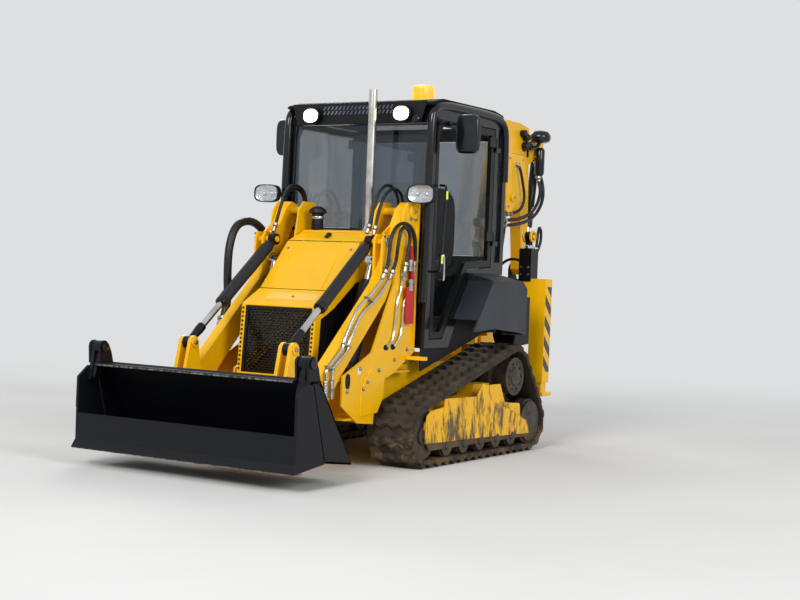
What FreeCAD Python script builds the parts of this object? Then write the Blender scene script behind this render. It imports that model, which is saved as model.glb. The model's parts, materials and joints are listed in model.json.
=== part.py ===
"""Compact tracked backhoe loader: a clam shovel in front, a folded digging arm behind.

Frame: +Z up, ground at z = 0, front towards -Y, the machine's left side at +X.
"""
import math
import os
import re

import FreeCAD, Part
import Sketcher

Vector = FreeCAD.Vector
Rotation = FreeCAD.Rotation
Placement = FreeCAD.Placement

# Driving dimensions, in millimetres and degrees
SIZES = {
    # rubber tracks and what runs in them
    "track_inner": 427, "track_width": 319, "band_thick": 25, "lug_height": 25, "lug_length": 42,
    "idler_rad": 150, "sprocket_rad": 166, "front_idler_y": -684, "rear_idler_y": 687, "idler_z": 200,
    "sprocket_y": 447, "sprocket_z": 510, "roller_rad": 70, "roller_gap": 0.5, "hub_rad": 118,
    "track_frame_x": 532, "track_frame_thick": 110, "wheel_clear": 6,
    "skirt_inner_x": 440, "skirt_outer_x": 722, "skirt_thick": 12, "seat_gap": 0.3,
    # chassis tub and the loader towers
    "tub_half": 407, "tub_front": -900, "tub_rear": 900, "tub_low": 262, "tub_top": 600, "plate": 12,
    "nose_front": -1240, "nose_top": 500, "inner_plate_x": 285, "outer_plate_x": 488, "tower_plate": 12,
    "pivot_y": -545, "pivot_z": 1545, "tower_top": 1600, "tower_rear": -470, "pivot_pin_rad": 25,
    # loader arms
    "arm_x": 412, "arm_wide": 70, "hinge_y": -1540, "hinge_z": 400, "hinge_pin_rad": 22,
    "cross_y": -1425, "cross_z": 430, "cross_rad": 45, "running": 0.3,
    # loader rams, all in one plane each side
    "ram_x": 362, "lift_base_y": -1000, "lift_base_z": 520, "lift_eye_y": -779, "lift_eye_z": 1231,
    "lift_barrel_rad": 44, "lift_barrel_end": 620, "lift_rod_rad": 25, "lift_wide": 54, "ram_pin_rad": 18,
    "tilt_base_y": -804, "tilt_base_z": 1350, "tilt_eye_y": -1592, "tilt_eye_z": 718,
    "tilt_barrel_rad": 33, "tilt_barrel_end": 640, "tilt_rod_rad": 20, "eye_rad": 36, "eye_wide": 44,
    "bore_clear": 0.5, "ear_gap": 1, "ear_thick": 22,
    # shovel
    "shovel_half": 781, "clam_y": -1944, "clam_z": 675, "side_thick": 16, "board_thick": 14,
    "post_span": 65, "post_thick": 14, "clam_gap": 6, "clam_pin_rad": 14,
    # engine, bonnet and grille
    "bonnet_half": 275, "bonnet_low": 500.3, "bonnet_rear": -480, "bonnet_top": 1412, "skin": 16,
    "grille_half": 245, "grille_low": 540, "grille_top": 940, "grille_thick": 10,
    "engine_half": 200, "engine_front": -1100, "engine_rear": -560, "engine_low": 292.3, "engine_top": 980,
    "stack_x": 184, "stack_y": -560, "stack_rad": 27, "stack_top": 2290, "stack_low": 1402,
    "cleaner_x": -200, "cleaner_y": -567, "cleaner_rad": 37, "cleaner_cap_rad": 58, "cleaner_top": 1485,
    # cab
    "cab_half": 552, "cab_wall": 42, "cab_front": -445, "cab_rear": 541, "cab_low": 706, "cab_top": 2195,
    "pillar": 52, "glass": 6, "roof_top": 2262, "door_gap": 6,
    "door_thick": 30, "hinge_line_y": 374, "hinge_out": 9,
    "fender_outer": 738, "fender_thick": 14, "fender_front": -150, "fender_rear": 560, "fender_top": 1185,
    # rear frame and stabilisers
    "rear_frame_y": 900, "rear_frame_deep": 100, "post_outer": 703, "post_wide": 116, "post_low": 446,
    "post_top": 1162, "leg_clear": 0.5, "post_wall": 12, "rail_high": 110, "leg_reach": 70,
    # digging arm
    "slew_y": 1150, "slew_rad": 55, "slew_low": 470, "slew_top": 740, "foot_y": 1290, "foot_z": 640,
    "boom_half": 60, "boom_pin_rad": 25, "head_y": 1740, "head_z": 2160, "dipper_half": 45,
    "wrist_y": 1830, "wrist_z": 1230, "bucket_half": 152, "bucket_wall": 10,
    "hoe_barrel_rad": 34, "hoe_rod_rad": 18,
    "boom_base_y": 1190, "boom_base_z": 820, "boom_eye_y": 1190, "boom_eye_z": 1400,
    "dip_base_y": 1185, "dip_base_z": 1560, "dip_eye_y": 1640, "dip_eye_z": 2300,
    "crowd_base_y": 2062, "crowd_base_z": 2190, "crowd_eye_y": 1890, "crowd_eye_z": 1126,
}

doc = FreeCAD.newDocument("backhoe_loader")
sheet = doc.addObject("Spreadsheet::Sheet", "sizes")
for row, (alias, number) in enumerate(SIZES.items(), start=1):
    sheet.set(f"A{row}", alias)
    sheet.set(f"B{row}", str(number))
    sheet.setAlias(f"B{row}", alias)
doc.recompute()


def cells(text):
    """An expression written with aliases, pointed at the sheet's cells."""
    return re.sub(r"[a-z_]+[a-z]", lambda m: "sizes." + m.group(0) if m.group(0) in SIZES else m.group(0),
                  str(text))


def bind(item, **settings):
    """Bind properties to sheet expressions; a double underscore stands for a dot."""
    for name, text in settings.items():
        item.setExpression(name.replace("__", "."), cells(text))
    return item


# Sketches and PartDesign features
def sketch_on(body, plane, at, corners=(), circles=()):
    """A sketch on one of the body's own planes, lifted by `at`, every corner bound to the sheet."""
    count = len(body.Group)
    sketch = body.newObject("Sketcher::SketchObject", f"{body.Name}_sketch{count}")
    origin = next(f for f in body.Origin.OriginFeatures if f.Role == plane + "_Plane")
    sketch.AttachmentSupport = [(origin, "")]
    sketch.MapMode = "FlatFace"
    sketch.setExpression("AttachmentOffset.Base.z", cells(at))
    number = len(corners)
    first = [Vector(500 * math.cos(2 * math.pi * i / number), 500 * math.sin(2 * math.pi * i / number), 0)
             for i in range(number)]
    for i in range(number):
        sketch.addGeometry(Part.LineSegment(first[i], first[(i + 1) % number]), False)
    for i in range(number):
        sketch.addConstraint(Sketcher.Constraint("Coincident", i, 2, (i + 1) % number, 1))
    for i, pair in enumerate(corners):
        for kind, start, text in zip(("DistanceX", "DistanceY"), first[i], pair):
            index = sketch.addConstraint(Sketcher.Constraint(kind, i, 1, start))
            sketch.setExpression(f"Constraints[{index}]", cells(text))
    for u, v, radius in circles:
        ring = sketch.addGeometry(Part.Circle(Vector(10, 10, 0), Vector(0, 0, 1), 5), False)
        for kind, start, text in (("DistanceX", 10, u), ("DistanceY", 10, v)):
            index = sketch.addConstraint(Sketcher.Constraint(kind, ring, 3, start))
            sketch.setExpression(f"Constraints[{index}]", cells(text))
        index = sketch.addConstraint(Sketcher.Constraint("Radius", ring, 5))
        sketch.setExpression(f"Constraints[{index}]", cells(radius))
    return sketch


def new_body(name):
    return doc.addObject("PartDesign::Body", name)


def pad(body, plane, at, length, corners=(), circles=()):
    """Pad an outline from `at` along the plane's normal."""
    feature = body.newObject("PartDesign::Pad", f"{body.Name}_pad{len(body.Group)}")
    feature.Profile = sketch_on(body, plane, at, corners, circles)
    return bind(feature, Length=length)


def pocket(body, plane, at, length, corners=(), circles=()):
    """Cut an outline from `at` back against the plane's normal."""
    feature = body.newObject("PartDesign::Pocket", f"{body.Name}_pocket{len(body.Group)}")
    feature.Profile = sketch_on(body, plane, at, corners, circles)
    return bind(feature, Length=length)


def turned(body, corners):
    """Revolve a half profile, given as radius and height, about the body's Z axis."""
    feature = body.newObject("PartDesign::Revolution", f"{body.Name}_turn{len(body.Group)}")
    sketch = sketch_on(body, "XZ", 0, corners)
    feature.Profile = sketch
    feature.ReferenceAxis = (sketch, ["V_Axis"])
    feature.Angle = 360
    return feature


def plate(name, at, length, corners, holes=(), plane="YZ"):
    """A flat piece with round holes, standing across X unless another plane is given."""
    body = new_body(name)
    pad(body, plane, at, length, corners)
    if holes:
        pocket(body, plane, f"{at} + {length} + 1", f"{length} + 2", circles=holes)
    return body


def box(name, x0, x1, y0, y1, z0, z1):
    """A box between two corners."""
    item = doc.addObject("Part::Box", name)
    return bind(item, Length=f"{x1} - ({x0})", Width=f"{y1} - ({y0})", Height=f"{z1} - ({z0})",
                Placement__Base__x=x0, Placement__Base__y=y0, Placement__Base__z=z0)


TURN = {"x": Rotation(Vector(0, 1, 0), 90), "y": Rotation(Vector(1, 0, 0), -90), "z": Rotation()}


def rod(name, axis, x, y, z, radius, length):
    """A round bar that starts at x, y, z and runs along an axis."""
    item = doc.addObject("Part::Cylinder", name)
    item.Placement = Placement(Vector(), TURN[axis])
    return bind(item, Radius=radius, Height=length, Placement__Base__x=x, Placement__Base__y=y,
                Placement__Base__z=z)


def fuse(name, pieces):
    item = doc.addObject("Part::MultiFuse", name)
    item.Shapes = pieces
    return item


def group(name, pieces):
    item = doc.addObject("Part::Compound", name)
    item.Links = pieces
    return item


def cut(name, base, tool):
    item = doc.addObject("Part::Cut", name)
    item.Base = base
    item.Tool = tool
    return item


def mirrored(source):
    """The same piece on the machine's other side."""
    item = doc.addObject("Part::Mirroring", source.Name + "_right")
    item.Source = source
    item.Base = Vector(0, 0, 0)
    item.Normal = Vector(1, 0, 0)
    return item


def both(pieces):
    return pieces + [mirrored(piece) for piece in pieces]


NODES = {}


def node(name, item):
    """Name the finished sub-part after its file."""
    item.Label = name
    NODES[name] = item
    return item


# Rubber tracks: one closed loop each, its lugs in the outline and staggered across the width
def belt_path(circles):
    """Straight runs and arcs round circles (y, z, radius), given in turning order, as edges."""
    edges = []
    touch = []
    for i, (y0, z0, r0) in enumerate(circles):
        y1, z1, r1 = circles[(i + 1) % len(circles)]
        span = math.hypot(y1 - y0, z1 - z0)
        heading = math.atan2(z1 - z0, y1 - y0)
        lean = heading - math.pi / 2 + math.asin((r1 - r0) / span) * -1
        out = (math.cos(lean), math.sin(lean))
        touch.append(((y0 + r0 * out[0], z0 + r0 * out[1]), (y1 + r1 * out[0], z1 + r1 * out[1]), lean))
    for i, (start, end, lean) in enumerate(touch):
        edges.append(Part.LineSegment(Vector(0, *start), Vector(0, *end)).toShape())
        y, z, radius = circles[(i + 1) % len(circles)]
        after = touch[(i + 1) % len(touch)][2]
        middle = lean + ((after - lean) % (2 * math.pi)) / 2
        top = Vector(0, y + radius * math.cos(middle), z + radius * math.sin(middle))
        edges.append(Part.Arc(Vector(0, *end), top, Vector(0, *touch[(i + 1) % len(touch)][0])).toShape())
    return Part.Wire(edges)


def value(name):
    return float(sheet.get(name).Value if hasattr(sheet.get(name), "Value") else sheet.get(name))


def track_circles(extra):
    """Rear idler, sprocket and front idler, in the order that turns anticlockwise seen from +X."""
    return [(value("front_idler_y"), value("idler_z"), value("idler_rad") + extra),
            (value("rear_idler_y"), value("idler_z"), value("idler_rad") + extra),
            (value("sprocket_y"), value("sprocket_z"), value("sprocket_rad") + extra)]


def track_half(x, width, phase):
    """One half of the track's width, its lugs shifted along the loop by `phase` of a pitch."""
    outer = belt_path(track_circles(value("band_thick")))
    inner = belt_path(track_circles(0))
    ring = Part.Face([outer, inner])
    band = ring.extrude(Vector(width, 0, 0))
    count = round(outer.Length / 100)
    sunk = 6
    lugs = []
    for i in range(count):
        along = (i + phase) * outer.Length / count % outer.Length
        for edge in outer.OrderedEdges:
            if along <= edge.Length:
                break
            along -= edge.Length
        low = edge.getParameterByLength(along)
        point = edge.valueAt(low)
        tangent = edge.tangentAt(low)
        outwards = Vector(0, tangent.z, -tangent.y)
        half = value("lug_length") / 2
        tip = half * 0.6
        root = point - outwards * sunk
        crest = point + outwards * value("lug_height")
        corners = [root - tangent * half, root + tangent * half, crest + tangent * tip, crest - tangent * tip]
        face = Part.Face(Part.makePolygon(corners + corners[:1]))
        lugs.append(face.extrude(Vector(width, 0, 0)))
    whole = band.multiFuse(lugs)
    whole.translate(Vector(x, 0, 0))
    return whole


def track(name, side):
    half = value("track_width") / 2
    start = value("track_inner")
    left = track_half(start, half, 0)
    right = track_half(start + half, half, 0.5)
    whole = left.fuse(right).removeSplitter()
    if side < 0:
        whole = whole.mirror(Vector(0, 0, 0), Vector(1, 0, 0))
    item = doc.addObject("Part::Feature", name)
    item.Shape = whole
    return node(name, item)


track("track_left", 1)
track("track_right", -1)

TRACK_MID = "track_inner + track_width / 2"

# Wheels inside the tracks; they stand clear of the band by the roller gap
RIM_SHIFTS = (-125, 65)
AXLE_START = "skirt_inner_x + skirt_thick + seat_gap"
AXLE_LENGTH = "skirt_outer_x - skirt_inner_x - skirt_thick - 2 * seat_gap"
WHEELS = [  # name, y, z, radius
    ("front_idler", "front_idler_y", "idler_z", "idler_rad - roller_gap"),
    ("rear_idler", "rear_idler_y", "idler_z", "idler_rad - roller_gap"),
]
wheels = []
for name, y, z, radius in WHEELS:
    rims = [rod(f"{name}_rim{i}", "x", f"{TRACK_MID} + {x}", y, z, radius, 60)
            for i, x in enumerate(RIM_SHIFTS)]
    wheels.append(fuse(name, rims + [rod(name + "_axle", "x", AXLE_START, y, z, "hub_rad - 60", AXLE_LENGTH)]))
ROLLER_Y = (-420, -210, 0, 210, 420)
for i, y in enumerate(ROLLER_Y):
    low = "idler_z - idler_rad + roller_gap + roller_rad"
    rims = [rod(f"roller{i}_rim{j}", "x", f"{TRACK_MID} + {x}", y, low, "roller_rad", 60)
            for j, x in enumerate(RIM_SHIFTS)]
    wheels.append(fuse(f"roller{i}", rims + [rod(f"roller{i}_axle", "x", AXLE_START, y, low, 30, AXLE_LENGTH)]))
node("track_wheels", group("track_wheels_all", both(wheels)))

sprocket = fuse("sprocket", [
    rod("sprocket_disc", "x", f"{TRACK_MID} - 30", "sprocket_y", "sprocket_z", "sprocket_rad - roller_gap", 60),
    rod("sprocket_hub", "x", f"{TRACK_MID} - 60", "sprocket_y", "sprocket_z", "hub_rad", 190),
    rod("sprocket_motor", "x", "tub_half + seat_gap", "sprocket_y", "sprocket_z", "hub_rad - 10",
        f"{TRACK_MID} - 60 - tub_half"),
])
node("drive_sprockets", group("drive_sprockets_all", both([sprocket])))

# Track frames: a beam between the wheels, a skirt plate each side of it that the axles seat between
beam = plate("track_beam", "track_frame_x", "track_frame_thick", [
    (-500, 165), (500, 165), (540, 215), (520, 330), (300, 340), (250, 470), (60, 470), (0, 395), (-500, 370)])
beam_gap = fuse("beam_gap", [
    rod(f"beam_gap{i}", "x", "track_frame_x - 10", y, z, f"{radius} + wheel_clear", "track_frame_thick + 20")
    for i, (y, z, radius) in enumerate((("sprocket_y", "sprocket_z", "sprocket_rad"),
                                        ("front_idler_y", "idler_z", "idler_rad"),
                                        ("rear_idler_y", "idler_z", "idler_rad")))])
beam_cut = cut("beam_cut", beam, beam_gap)
SKIRT = [(-700, 190), (-640, 104), (660, 100), (730, 150), (700, 215), (545, 215), (520, 330), (310, 345), (240, 470),
         (110, 470), (0, 385), (-640, 332), (-700, 270)]
skirts = [plate(name, x, "skirt_thick", SKIRT)
          for name, x in (("skirt_inner", "skirt_inner_x"), ("skirt_outer", "skirt_outer_x"))]
ribs = [box(f"skirt_rib{i}", "skirt_inner_x + 1", "skirt_outer_x + 1", y, y + 60, 215, 315)
        for i, y in enumerate((-440, -60, 150))]
carriers = [box(f"track_carrier{i}", "tub_half + seat_gap", "track_frame_x + 1", y, y + 80, 280, 350)
            for i, y in enumerate((-330, 160))]
left_frame = fuse("left_frame", [beam_cut] + skirts + ribs + carriers)
node("track_frame_left", left_frame)
node("track_frame_right", mirrored(left_frame))

# Chassis: an open tub with the cab's four mounts, and a nose box under the grille
tub = cut("tub", box("tub_block", "-tub_half", "tub_half", "tub_front", "tub_rear", "tub_low", "tub_top"),
          fuse("tub_inside", [
              box("tub_room", "-tub_half + plate", "tub_half - plate", "tub_front + plate", "tub_rear - plate",
                  "tub_low + plate", "tub_top + 1"),
              box("engine_passage", "-inner_plate_x + 5", "inner_plate_x - 5", "tub_front - 1", "tub_front + plate + 1",
                  "tub_low + 30", "tub_top + 1")]))
NOSE_HALF = "(inner_plate_x - seat_gap)"
nose = cut("nose", box("nose_block", f"-{NOSE_HALF}", NOSE_HALF, "nose_front", "tub_front + 2",
                       "tub_low + 18", "nose_top"),
           box("nose_room", f"-{NOSE_HALF} + 2 * plate", f"{NOSE_HALF} - 2 * plate", "nose_front + plate",
               "tub_front + 3", "tub_low + 18 + plate", "nose_top + 1"))
mounts = [box(f"cab_mount{i}", "tub_half - 90", "tub_half", y, y + 80, "tub_top - 1", "cab_low - seat_gap")
          for i, y in enumerate((-400, 440))]
node("chassis_frame", fuse("chassis_all", [tub, nose] + both(mounts)))

# Loader towers: two plates each, tied by a shelf, a gusset, a stay and the pins, and seated against tub and nose
TOWER = [("pivot_y - 55", "tower_top"), ("tower_rear", "tower_top"), ("tower_rear", 1440), (-500, 1100),
         (-480, "tub_top + 80"), (-700, 560), (-890, 500), (-912, 265), (-1081, 280), (-1250, 389),
         (-1250, 560), (-950, 690), (-740, 1090), ("pivot_y - 105", 1545)]
towers = [plate(name, x, "tower_plate", TOWER) for name, x in
          (("tower_inner", "inner_plate_x"), ("tower_outer", "outer_plate_x"))]
shelf = box("tower_shelf", "tub_half - 1", "outer_plate_x + 1", -880, -500, 560, 572)
gusset = box("tower_gusset", "inner_plate_x + 1", "outer_plate_x + 1", -1200, "tub_front + 1", 300, 312)
stay = box("tower_stay", "inner_plate_x + 1", "outer_plate_x + 1", "tower_rear - 14", "tower_rear - 2", 1250, 1420)
BOSSES = [  # name, y, z, radius
    ("pivot_pin", "pivot_y", "pivot_z", "pivot_pin_rad"),
    ("lift_base_pin", "lift_base_y", "lift_base_z", "ram_pin_rad"),
]
pins = [rod(name, "x", "inner_plate_x", y, z, radius, "outer_plate_x + tower_plate - inner_plate_x")
        for name, y, z, radius in BOSSES]
bosses = [rod(name + "_boss", "x", "outer_plate_x + tower_plate - 1", y, z, "ram_pin_rad + 22", 14)
          for name, y, z, radius in BOSSES[:1]]
step = box("step_bar", "outer_plate_x + tower_plate - 1", "outer_plate_x + 152", -580, -545, 640, 662)
tub_space = box("tub_space", "-tub_half - seat_gap", "tub_half + seat_gap", "tub_front - seat_gap", "tub_rear",
                "tub_low - 10", "tub_top + seat_gap")
left_tower = cut("left_tower", fuse("tower_all", towers + [shelf, gusset, stay, step] + pins + bosses), tub_space)
node("loader_tower_left", left_tower)
node("loader_tower_right", mirrored(left_tower))

# Engine: one plain block on the tub's nose
node("engine_block", box("engine", "-engine_half", "engine_half", "engine_front", "engine_rear",
                         "engine_low", "engine_top"))

# Bonnet: a hollow hood, open below and behind, with the grille's opening in its front
HOOD = [("bonnet_rear", "bonnet_low"), (-1250, "bonnet_low"), (-1216, 952), (-1180, 972), (-1044, 1046),
        (-776, 1345), (-620, "bonnet_top"), ("bonnet_rear", "bonnet_top")]
HOOD_ROOM = [("bonnet_rear + 1", "bonnet_low - 1"), ("-1250 + skin", "bonnet_low - 1"), ("-1216 + skin", 944),
             (-1172, 960), ("-1044 + 4", "1046 - skin"), (-772, "1345 - skin"), (-618, "bonnet_top - skin"),
             ("bonnet_rear + 1", "bonnet_top - skin")]
hood = plate("hood", "-bonnet_half", "2 * bonnet_half", HOOD)
pocket(hood, "YZ", "bonnet_half - skin", "2 * bonnet_half - 2 * skin", HOOD_ROOM)
pocket(hood, "XZ", "1200", 400, [("-grille_half", "grille_low"), ("grille_half", "grille_low"),
                                 ("grille_half", "grille_top"), ("-grille_half", "grille_top")]).Reversed = True
node("bonnet", hood)

# Grille: a plate of slots that fills the bonnet's opening
grille = new_body("grille_plate")
pad(grille, "YZ", "-grille_half + seat_gap", "2 * grille_half - 2 * seat_gap", [
    (-1240, "grille_low + seat_gap"), (-1209, "grille_top - seat_gap"),
    ("-1209 + grille_thick", "grille_top - seat_gap"), ("-1240 + grille_thick", "grille_low + seat_gap")])
slot_cut = pocket(grille, "XZ", 1200, 300, [
    ("-grille_half + 20", "grille_low + 16"), ("-grille_half + 50", "grille_low + 16"),
    ("-grille_half + 50", "grille_low + 34"), ("-grille_half + 20", "grille_low + 34")])
slot_cut.Reversed = True
rows = grille.newObject("PartDesign::MultiTransform", "grille_rows")
rows.Originals = [slot_cut]
across = grille.newObject("PartDesign::LinearPattern", "grille_across")
across.Direction = (slot_cut.Profile[0], ["H_Axis"])
across.Occurrences = 11
bind(across, Length="2 * grille_half - 70")
upward = grille.newObject("PartDesign::LinearPattern", "grille_upward")
upward.Direction = (slot_cut.Profile[0], ["V_Axis"])
upward.Occurrences = 10
bind(upward, Length="grille_top - grille_low - 50")
rows.Transformations = [across, upward]
grille.Tip = rows
node("grille", grille)

# Exhaust stack and air pre-cleaner on the bonnet
stack = new_body("stack")
turned(stack, [("stack_rad - 3", 0), ("stack_rad", 0), ("stack_rad", "stack_top - stack_low"),
               ("stack_rad - 3", "stack_top - stack_low")])
bind(stack, Placement__Base__x="stack_x", Placement__Base__y="stack_y", Placement__Base__z="bonnet_top + 0.3")
node("exhaust_stack", stack)
cleaner = new_body("cleaner")
turned(cleaner, [(0, 0), ("cleaner_rad", 0), ("cleaner_rad", 110), ("cleaner_cap_rad", 118),
                 ("cleaner_cap_rad - 6", 140), ("cleaner_rad - 10", 156), (0, 160)])
bind(cleaner, Placement__Base__x="cleaner_x", Placement__Base__y="cleaner_y",
     Placement__Base__z="bonnet_top + 0.3")
node("air_precleaner", cleaner)

# Cab: two side frames with a door opening and a rear quarter opening, joined by headers, floor and rear wall
SIDE = [("cab_front", "cab_low"), (-150, "cab_low"), (90, 1140), ("cab_rear", 1180), ("cab_rear", 2080),
        ("cab_rear - 60", "cab_top"), ("cab_front + 90", "cab_top"), ("cab_front + 20", 2100)]
DOOR = [("cab_front + pillar", 760), (-232, 760), (20, 1150), (50, 1200), ("hinge_line_y", 1225),
        ("hinge_line_y", "cab_top - pillar"), ("cab_front + pillar + 60", "cab_top - pillar"),
        ("cab_front + pillar + 10", "cab_top - 110")]
QUARTER = [("hinge_line_y + 40", 1260), ("cab_rear - 46", 1260), ("cab_rear - 46", 2060),
           ("cab_rear - 80", "cab_top - pillar"), ("hinge_line_y + 40", "cab_top - pillar")]
side = plate("cab_side", "cab_half - cab_wall", "cab_wall", SIDE)
pocket(side, "YZ", "cab_half + 1", "cab_wall + 2", DOOR)
pocket(side, "YZ", "cab_half + 1", "cab_wall + 2", QUARTER)
INNER = "cab_half - cab_wall"
headers = [
    box("cab_header_front", f"-({INNER})", INNER, "cab_front + 26", "cab_front + 76", "cab_top - 90", "cab_top"),
    box("cab_header_rear", f"-({INNER})", INNER, "cab_rear - 60", "cab_rear - 12", "cab_top - 120", "cab_top - 30"),
    box("cab_sill_front", f"-({INNER})", INNER, "cab_front", "cab_front + 40", "cab_low", 1440),
    box("cab_floor", f"-({INNER})", INNER, "cab_front", 0, "cab_low", "cab_low + 16"),
    box("cab_seat_deck", f"-({INNER})", INNER, 0, "cab_rear", 1120, 1136),
    box("cab_riser", f"-({INNER})", INNER, -16, 0, "cab_low", 1136),
    box("cab_rear_wall", f"-({INNER})", INNER, "cab_rear - 40", "cab_rear", 1120, 1300),
]
HINGES = (1400, 2020)
HINGE_X = "(cab_half + hinge_out)"
hinge_knuckles = [rod(f"frame_knuckle{i}", "z", HINGE_X, "hinge_line_y", f"{z} - 30 - seat_gap", 8, 30)
                  for i, z in enumerate(HINGES)]
hinge_straps = [box(f"frame_strap{i}", "cab_half - 1", HINGE_X + " + 4", "hinge_line_y + 1", "hinge_line_y + 60",
                    f"{z} - 30 - seat_gap", f"{z} - seat_gap") for i, z in enumerate(HINGES)]
node("cab_frame", fuse("cab_all", both([side] + hinge_knuckles + hinge_straps) + headers))

# Roof with its overhanging visor, sat on the frame's top
ROOF = [("cab_front + 90", "cab_top + 0.3"), ("cab_rear - 62", "cab_top + 0.3"), ("cab_rear - 80", "roof_top - 20"),
        ("cab_rear - 200", "roof_top"), ("cab_front + 120", "roof_top"), ("cab_front", "roof_top - 30"),
        ("cab_front - 8", "roof_top - 50")]
node("cab_roof", plate("roof", "-cab_half - 10", "2 * cab_half + 20", ROOF))

# Fixed glass: windscreen, rear window and the two rear quarters
screen = plate("windscreen", "-cab_half + cab_wall + seat_gap", "2 * cab_half - 2 * cab_wall - 2 * seat_gap", [
    ("cab_front + 12", 1442), ("cab_front + 12 + glass", 1442), ("cab_front + 34 + glass", "cab_top - 92"),
    ("cab_front + 34", "cab_top - 92")])
rear_glass = box("rear_glass", "-cab_half + cab_wall + seat_gap", "cab_half - cab_wall - seat_gap", "cab_rear - 30",
                 "cab_rear - 30 + glass", 1302, "cab_top - 122")
quarter = plate("quarter_glass", "cab_half - 26", "glass", [
    ("hinge_line_y + 40 + seat_gap", "1260 + seat_gap"), ("cab_rear - 46 - seat_gap", "1260 + seat_gap"),
    ("cab_rear - 46 - seat_gap", 2059), ("cab_rear - 80 - seat_gap", "cab_top - pillar - seat_gap"),
    ("hinge_line_y + 40 + seat_gap", "cab_top - pillar - seat_gap")])
node("cab_glass", group("cab_glass_all", [screen, rear_glass] + both([quarter])))

# Doors: a frame that fills the opening less the door gap, and its pane
DOOR_EDGE = [("cab_front + pillar + door_gap", "760 + door_gap"), ("-232 - door_gap", "760 + door_gap"),
             ("20 - door_gap", "1150 + 3"), ("50 - 5", "1200 + door_gap"), ("hinge_line_y - door_gap", "1225 + door_gap"),
             ("hinge_line_y - door_gap", "cab_top - pillar - door_gap"),
             ("cab_front + pillar + 60 + 4", "cab_top - pillar - door_gap"),
             ("cab_front + pillar + 10 + door_gap", "cab_top - 110 - 4")]
PANE = [("cab_front + pillar + 46", 806), (-262, 806), (-8, 1200), (30, 1250), ("hinge_line_y - 50", 1272),
        ("hinge_line_y - 50", "cab_top - pillar - 50"), ("cab_front + pillar + 90", "cab_top - pillar - 50"),
        ("cab_front + pillar + 46", "cab_top - 160")]
door = plate("door", "cab_half - door_thick", "door_thick", DOOR_EDGE)
pocket(door, "YZ", "cab_half + 1", "door_thick + 2", PANE)
knuckles = [rod(f"door_knuckle{i}", "z", HINGE_X, "hinge_line_y", z, 8, 60) for i, z in enumerate(HINGES)]
straps = [box(f"door_strap{i}", "cab_half - 1", HINGE_X + " + 4", "hinge_line_y - 90", "hinge_line_y - 5", z, z + 60)
          for i, z in enumerate(HINGES)]
left_door = fuse("left_door", [door] + knuckles + straps)
node("door_left", left_door)
node("door_right", mirrored(left_door))
pane = plate("door_pane", "cab_half - 20", "glass", PANE)
node("door_glass_left", pane)
node("door_glass_right", mirrored(pane))

# Operator's seat and the controls beside it
seat = fuse("seat", [
    box("seat_cushion", -230, 230, 20, 430, 1180, 1270),
    plate("seat_back", -220, 440, [(400, 1180), (440, 1180), (480, 1760), (400, 1760), (360, 1270)]),
    box("seat_box", -200, 200, 60, 420, 1136.3, 1181),
])
node("operator_seat", seat)
levers = fuse("levers", [
    box("console", -180, 180, "cab_front + 41", "cab_front + 130", "cab_low + 16.3", 1330),
    rod("lever_left", "z", -90, "cab_front + 100", 1329, 9, 180),
    rod("lever_right", "z", 90, "cab_front + 100", 1329, 9, 180),
])
node("controls", levers)

# Fenders: side covers over the tracks
FENDER = [("fender_front", 812), (85, 1138), (60, "fender_top"), ("fender_rear - 120", "fender_top"),
          ("fender_rear", 1090), ("fender_rear", 780), (480, 800), (120, 830)]
fender = plate("fender", "cab_half + seat_gap", "fender_outer - cab_half - seat_gap", FENDER)
pocket(fender, "YZ", "fender_outer - fender_thick", "fender_outer - cab_half - fender_thick + 1", [
    ("fender_front - 20", 796), (98, "fender_top - 60"), ("fender_rear - 60", "fender_top - 60"),
    ("fender_rear - fender_thick", 1070), ("fender_rear - fender_thick", 760)])
pocket(fender, "XZ", 200, 800, [("cab_half", "fender_top + 2"), ("fender_outer + 1", "fender_top - 46"),
                                ("fender_outer + 1", "fender_top + 10"), ("cab_half", "fender_top + 10")])
node("fender_left", fender)
node("fender_right", mirrored(fender))

# Mirrors, one on each door, and lamps
mirror = fuse("mirror", [
    box("mirror_head", "cab_half + 63", "cab_half + 228", -275, -235, 1925, 2170),
    box("mirror_arm", "cab_half + seat_gap", "cab_half + 64", -263, -247, 2105, 2121),
])
node("mirror_left", mirror)
node("mirror_right", mirrored(mirror))
work_lamp = fuse("work_lamp", [
    rod("work_lamp_pot", "y", 347, "cab_front - 40", "cab_top - 50", 42, 50),
    box("work_lamp_foot", 337, 357, "cab_front - 4", "cab_front + 26", "cab_top - 60", "cab_top - 40"),
])
beacon = fuse("beacon", [
    rod("beacon_foot", "z", 250, -71, "roof_top + 0.3", 58, 20),
    rod("beacon_dome", "z", 250, -71, "roof_top + 20", 50, 80),
])
node("lamps", group("lamps_all", both([work_lamp]) + [beacon]))
headlamp = fuse("headlamp", [
    box("headlamp_head", 490, 650, -580, -510, "tower_top + 6", "tower_top + 100"),
    box("headlamp_stalk", 515, 545, -530, "cab_front + 12.9", "tower_top + 25", "tower_top + 55"),
])
node("headlamps", group("headlamps_all", both([headlamp])))

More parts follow.
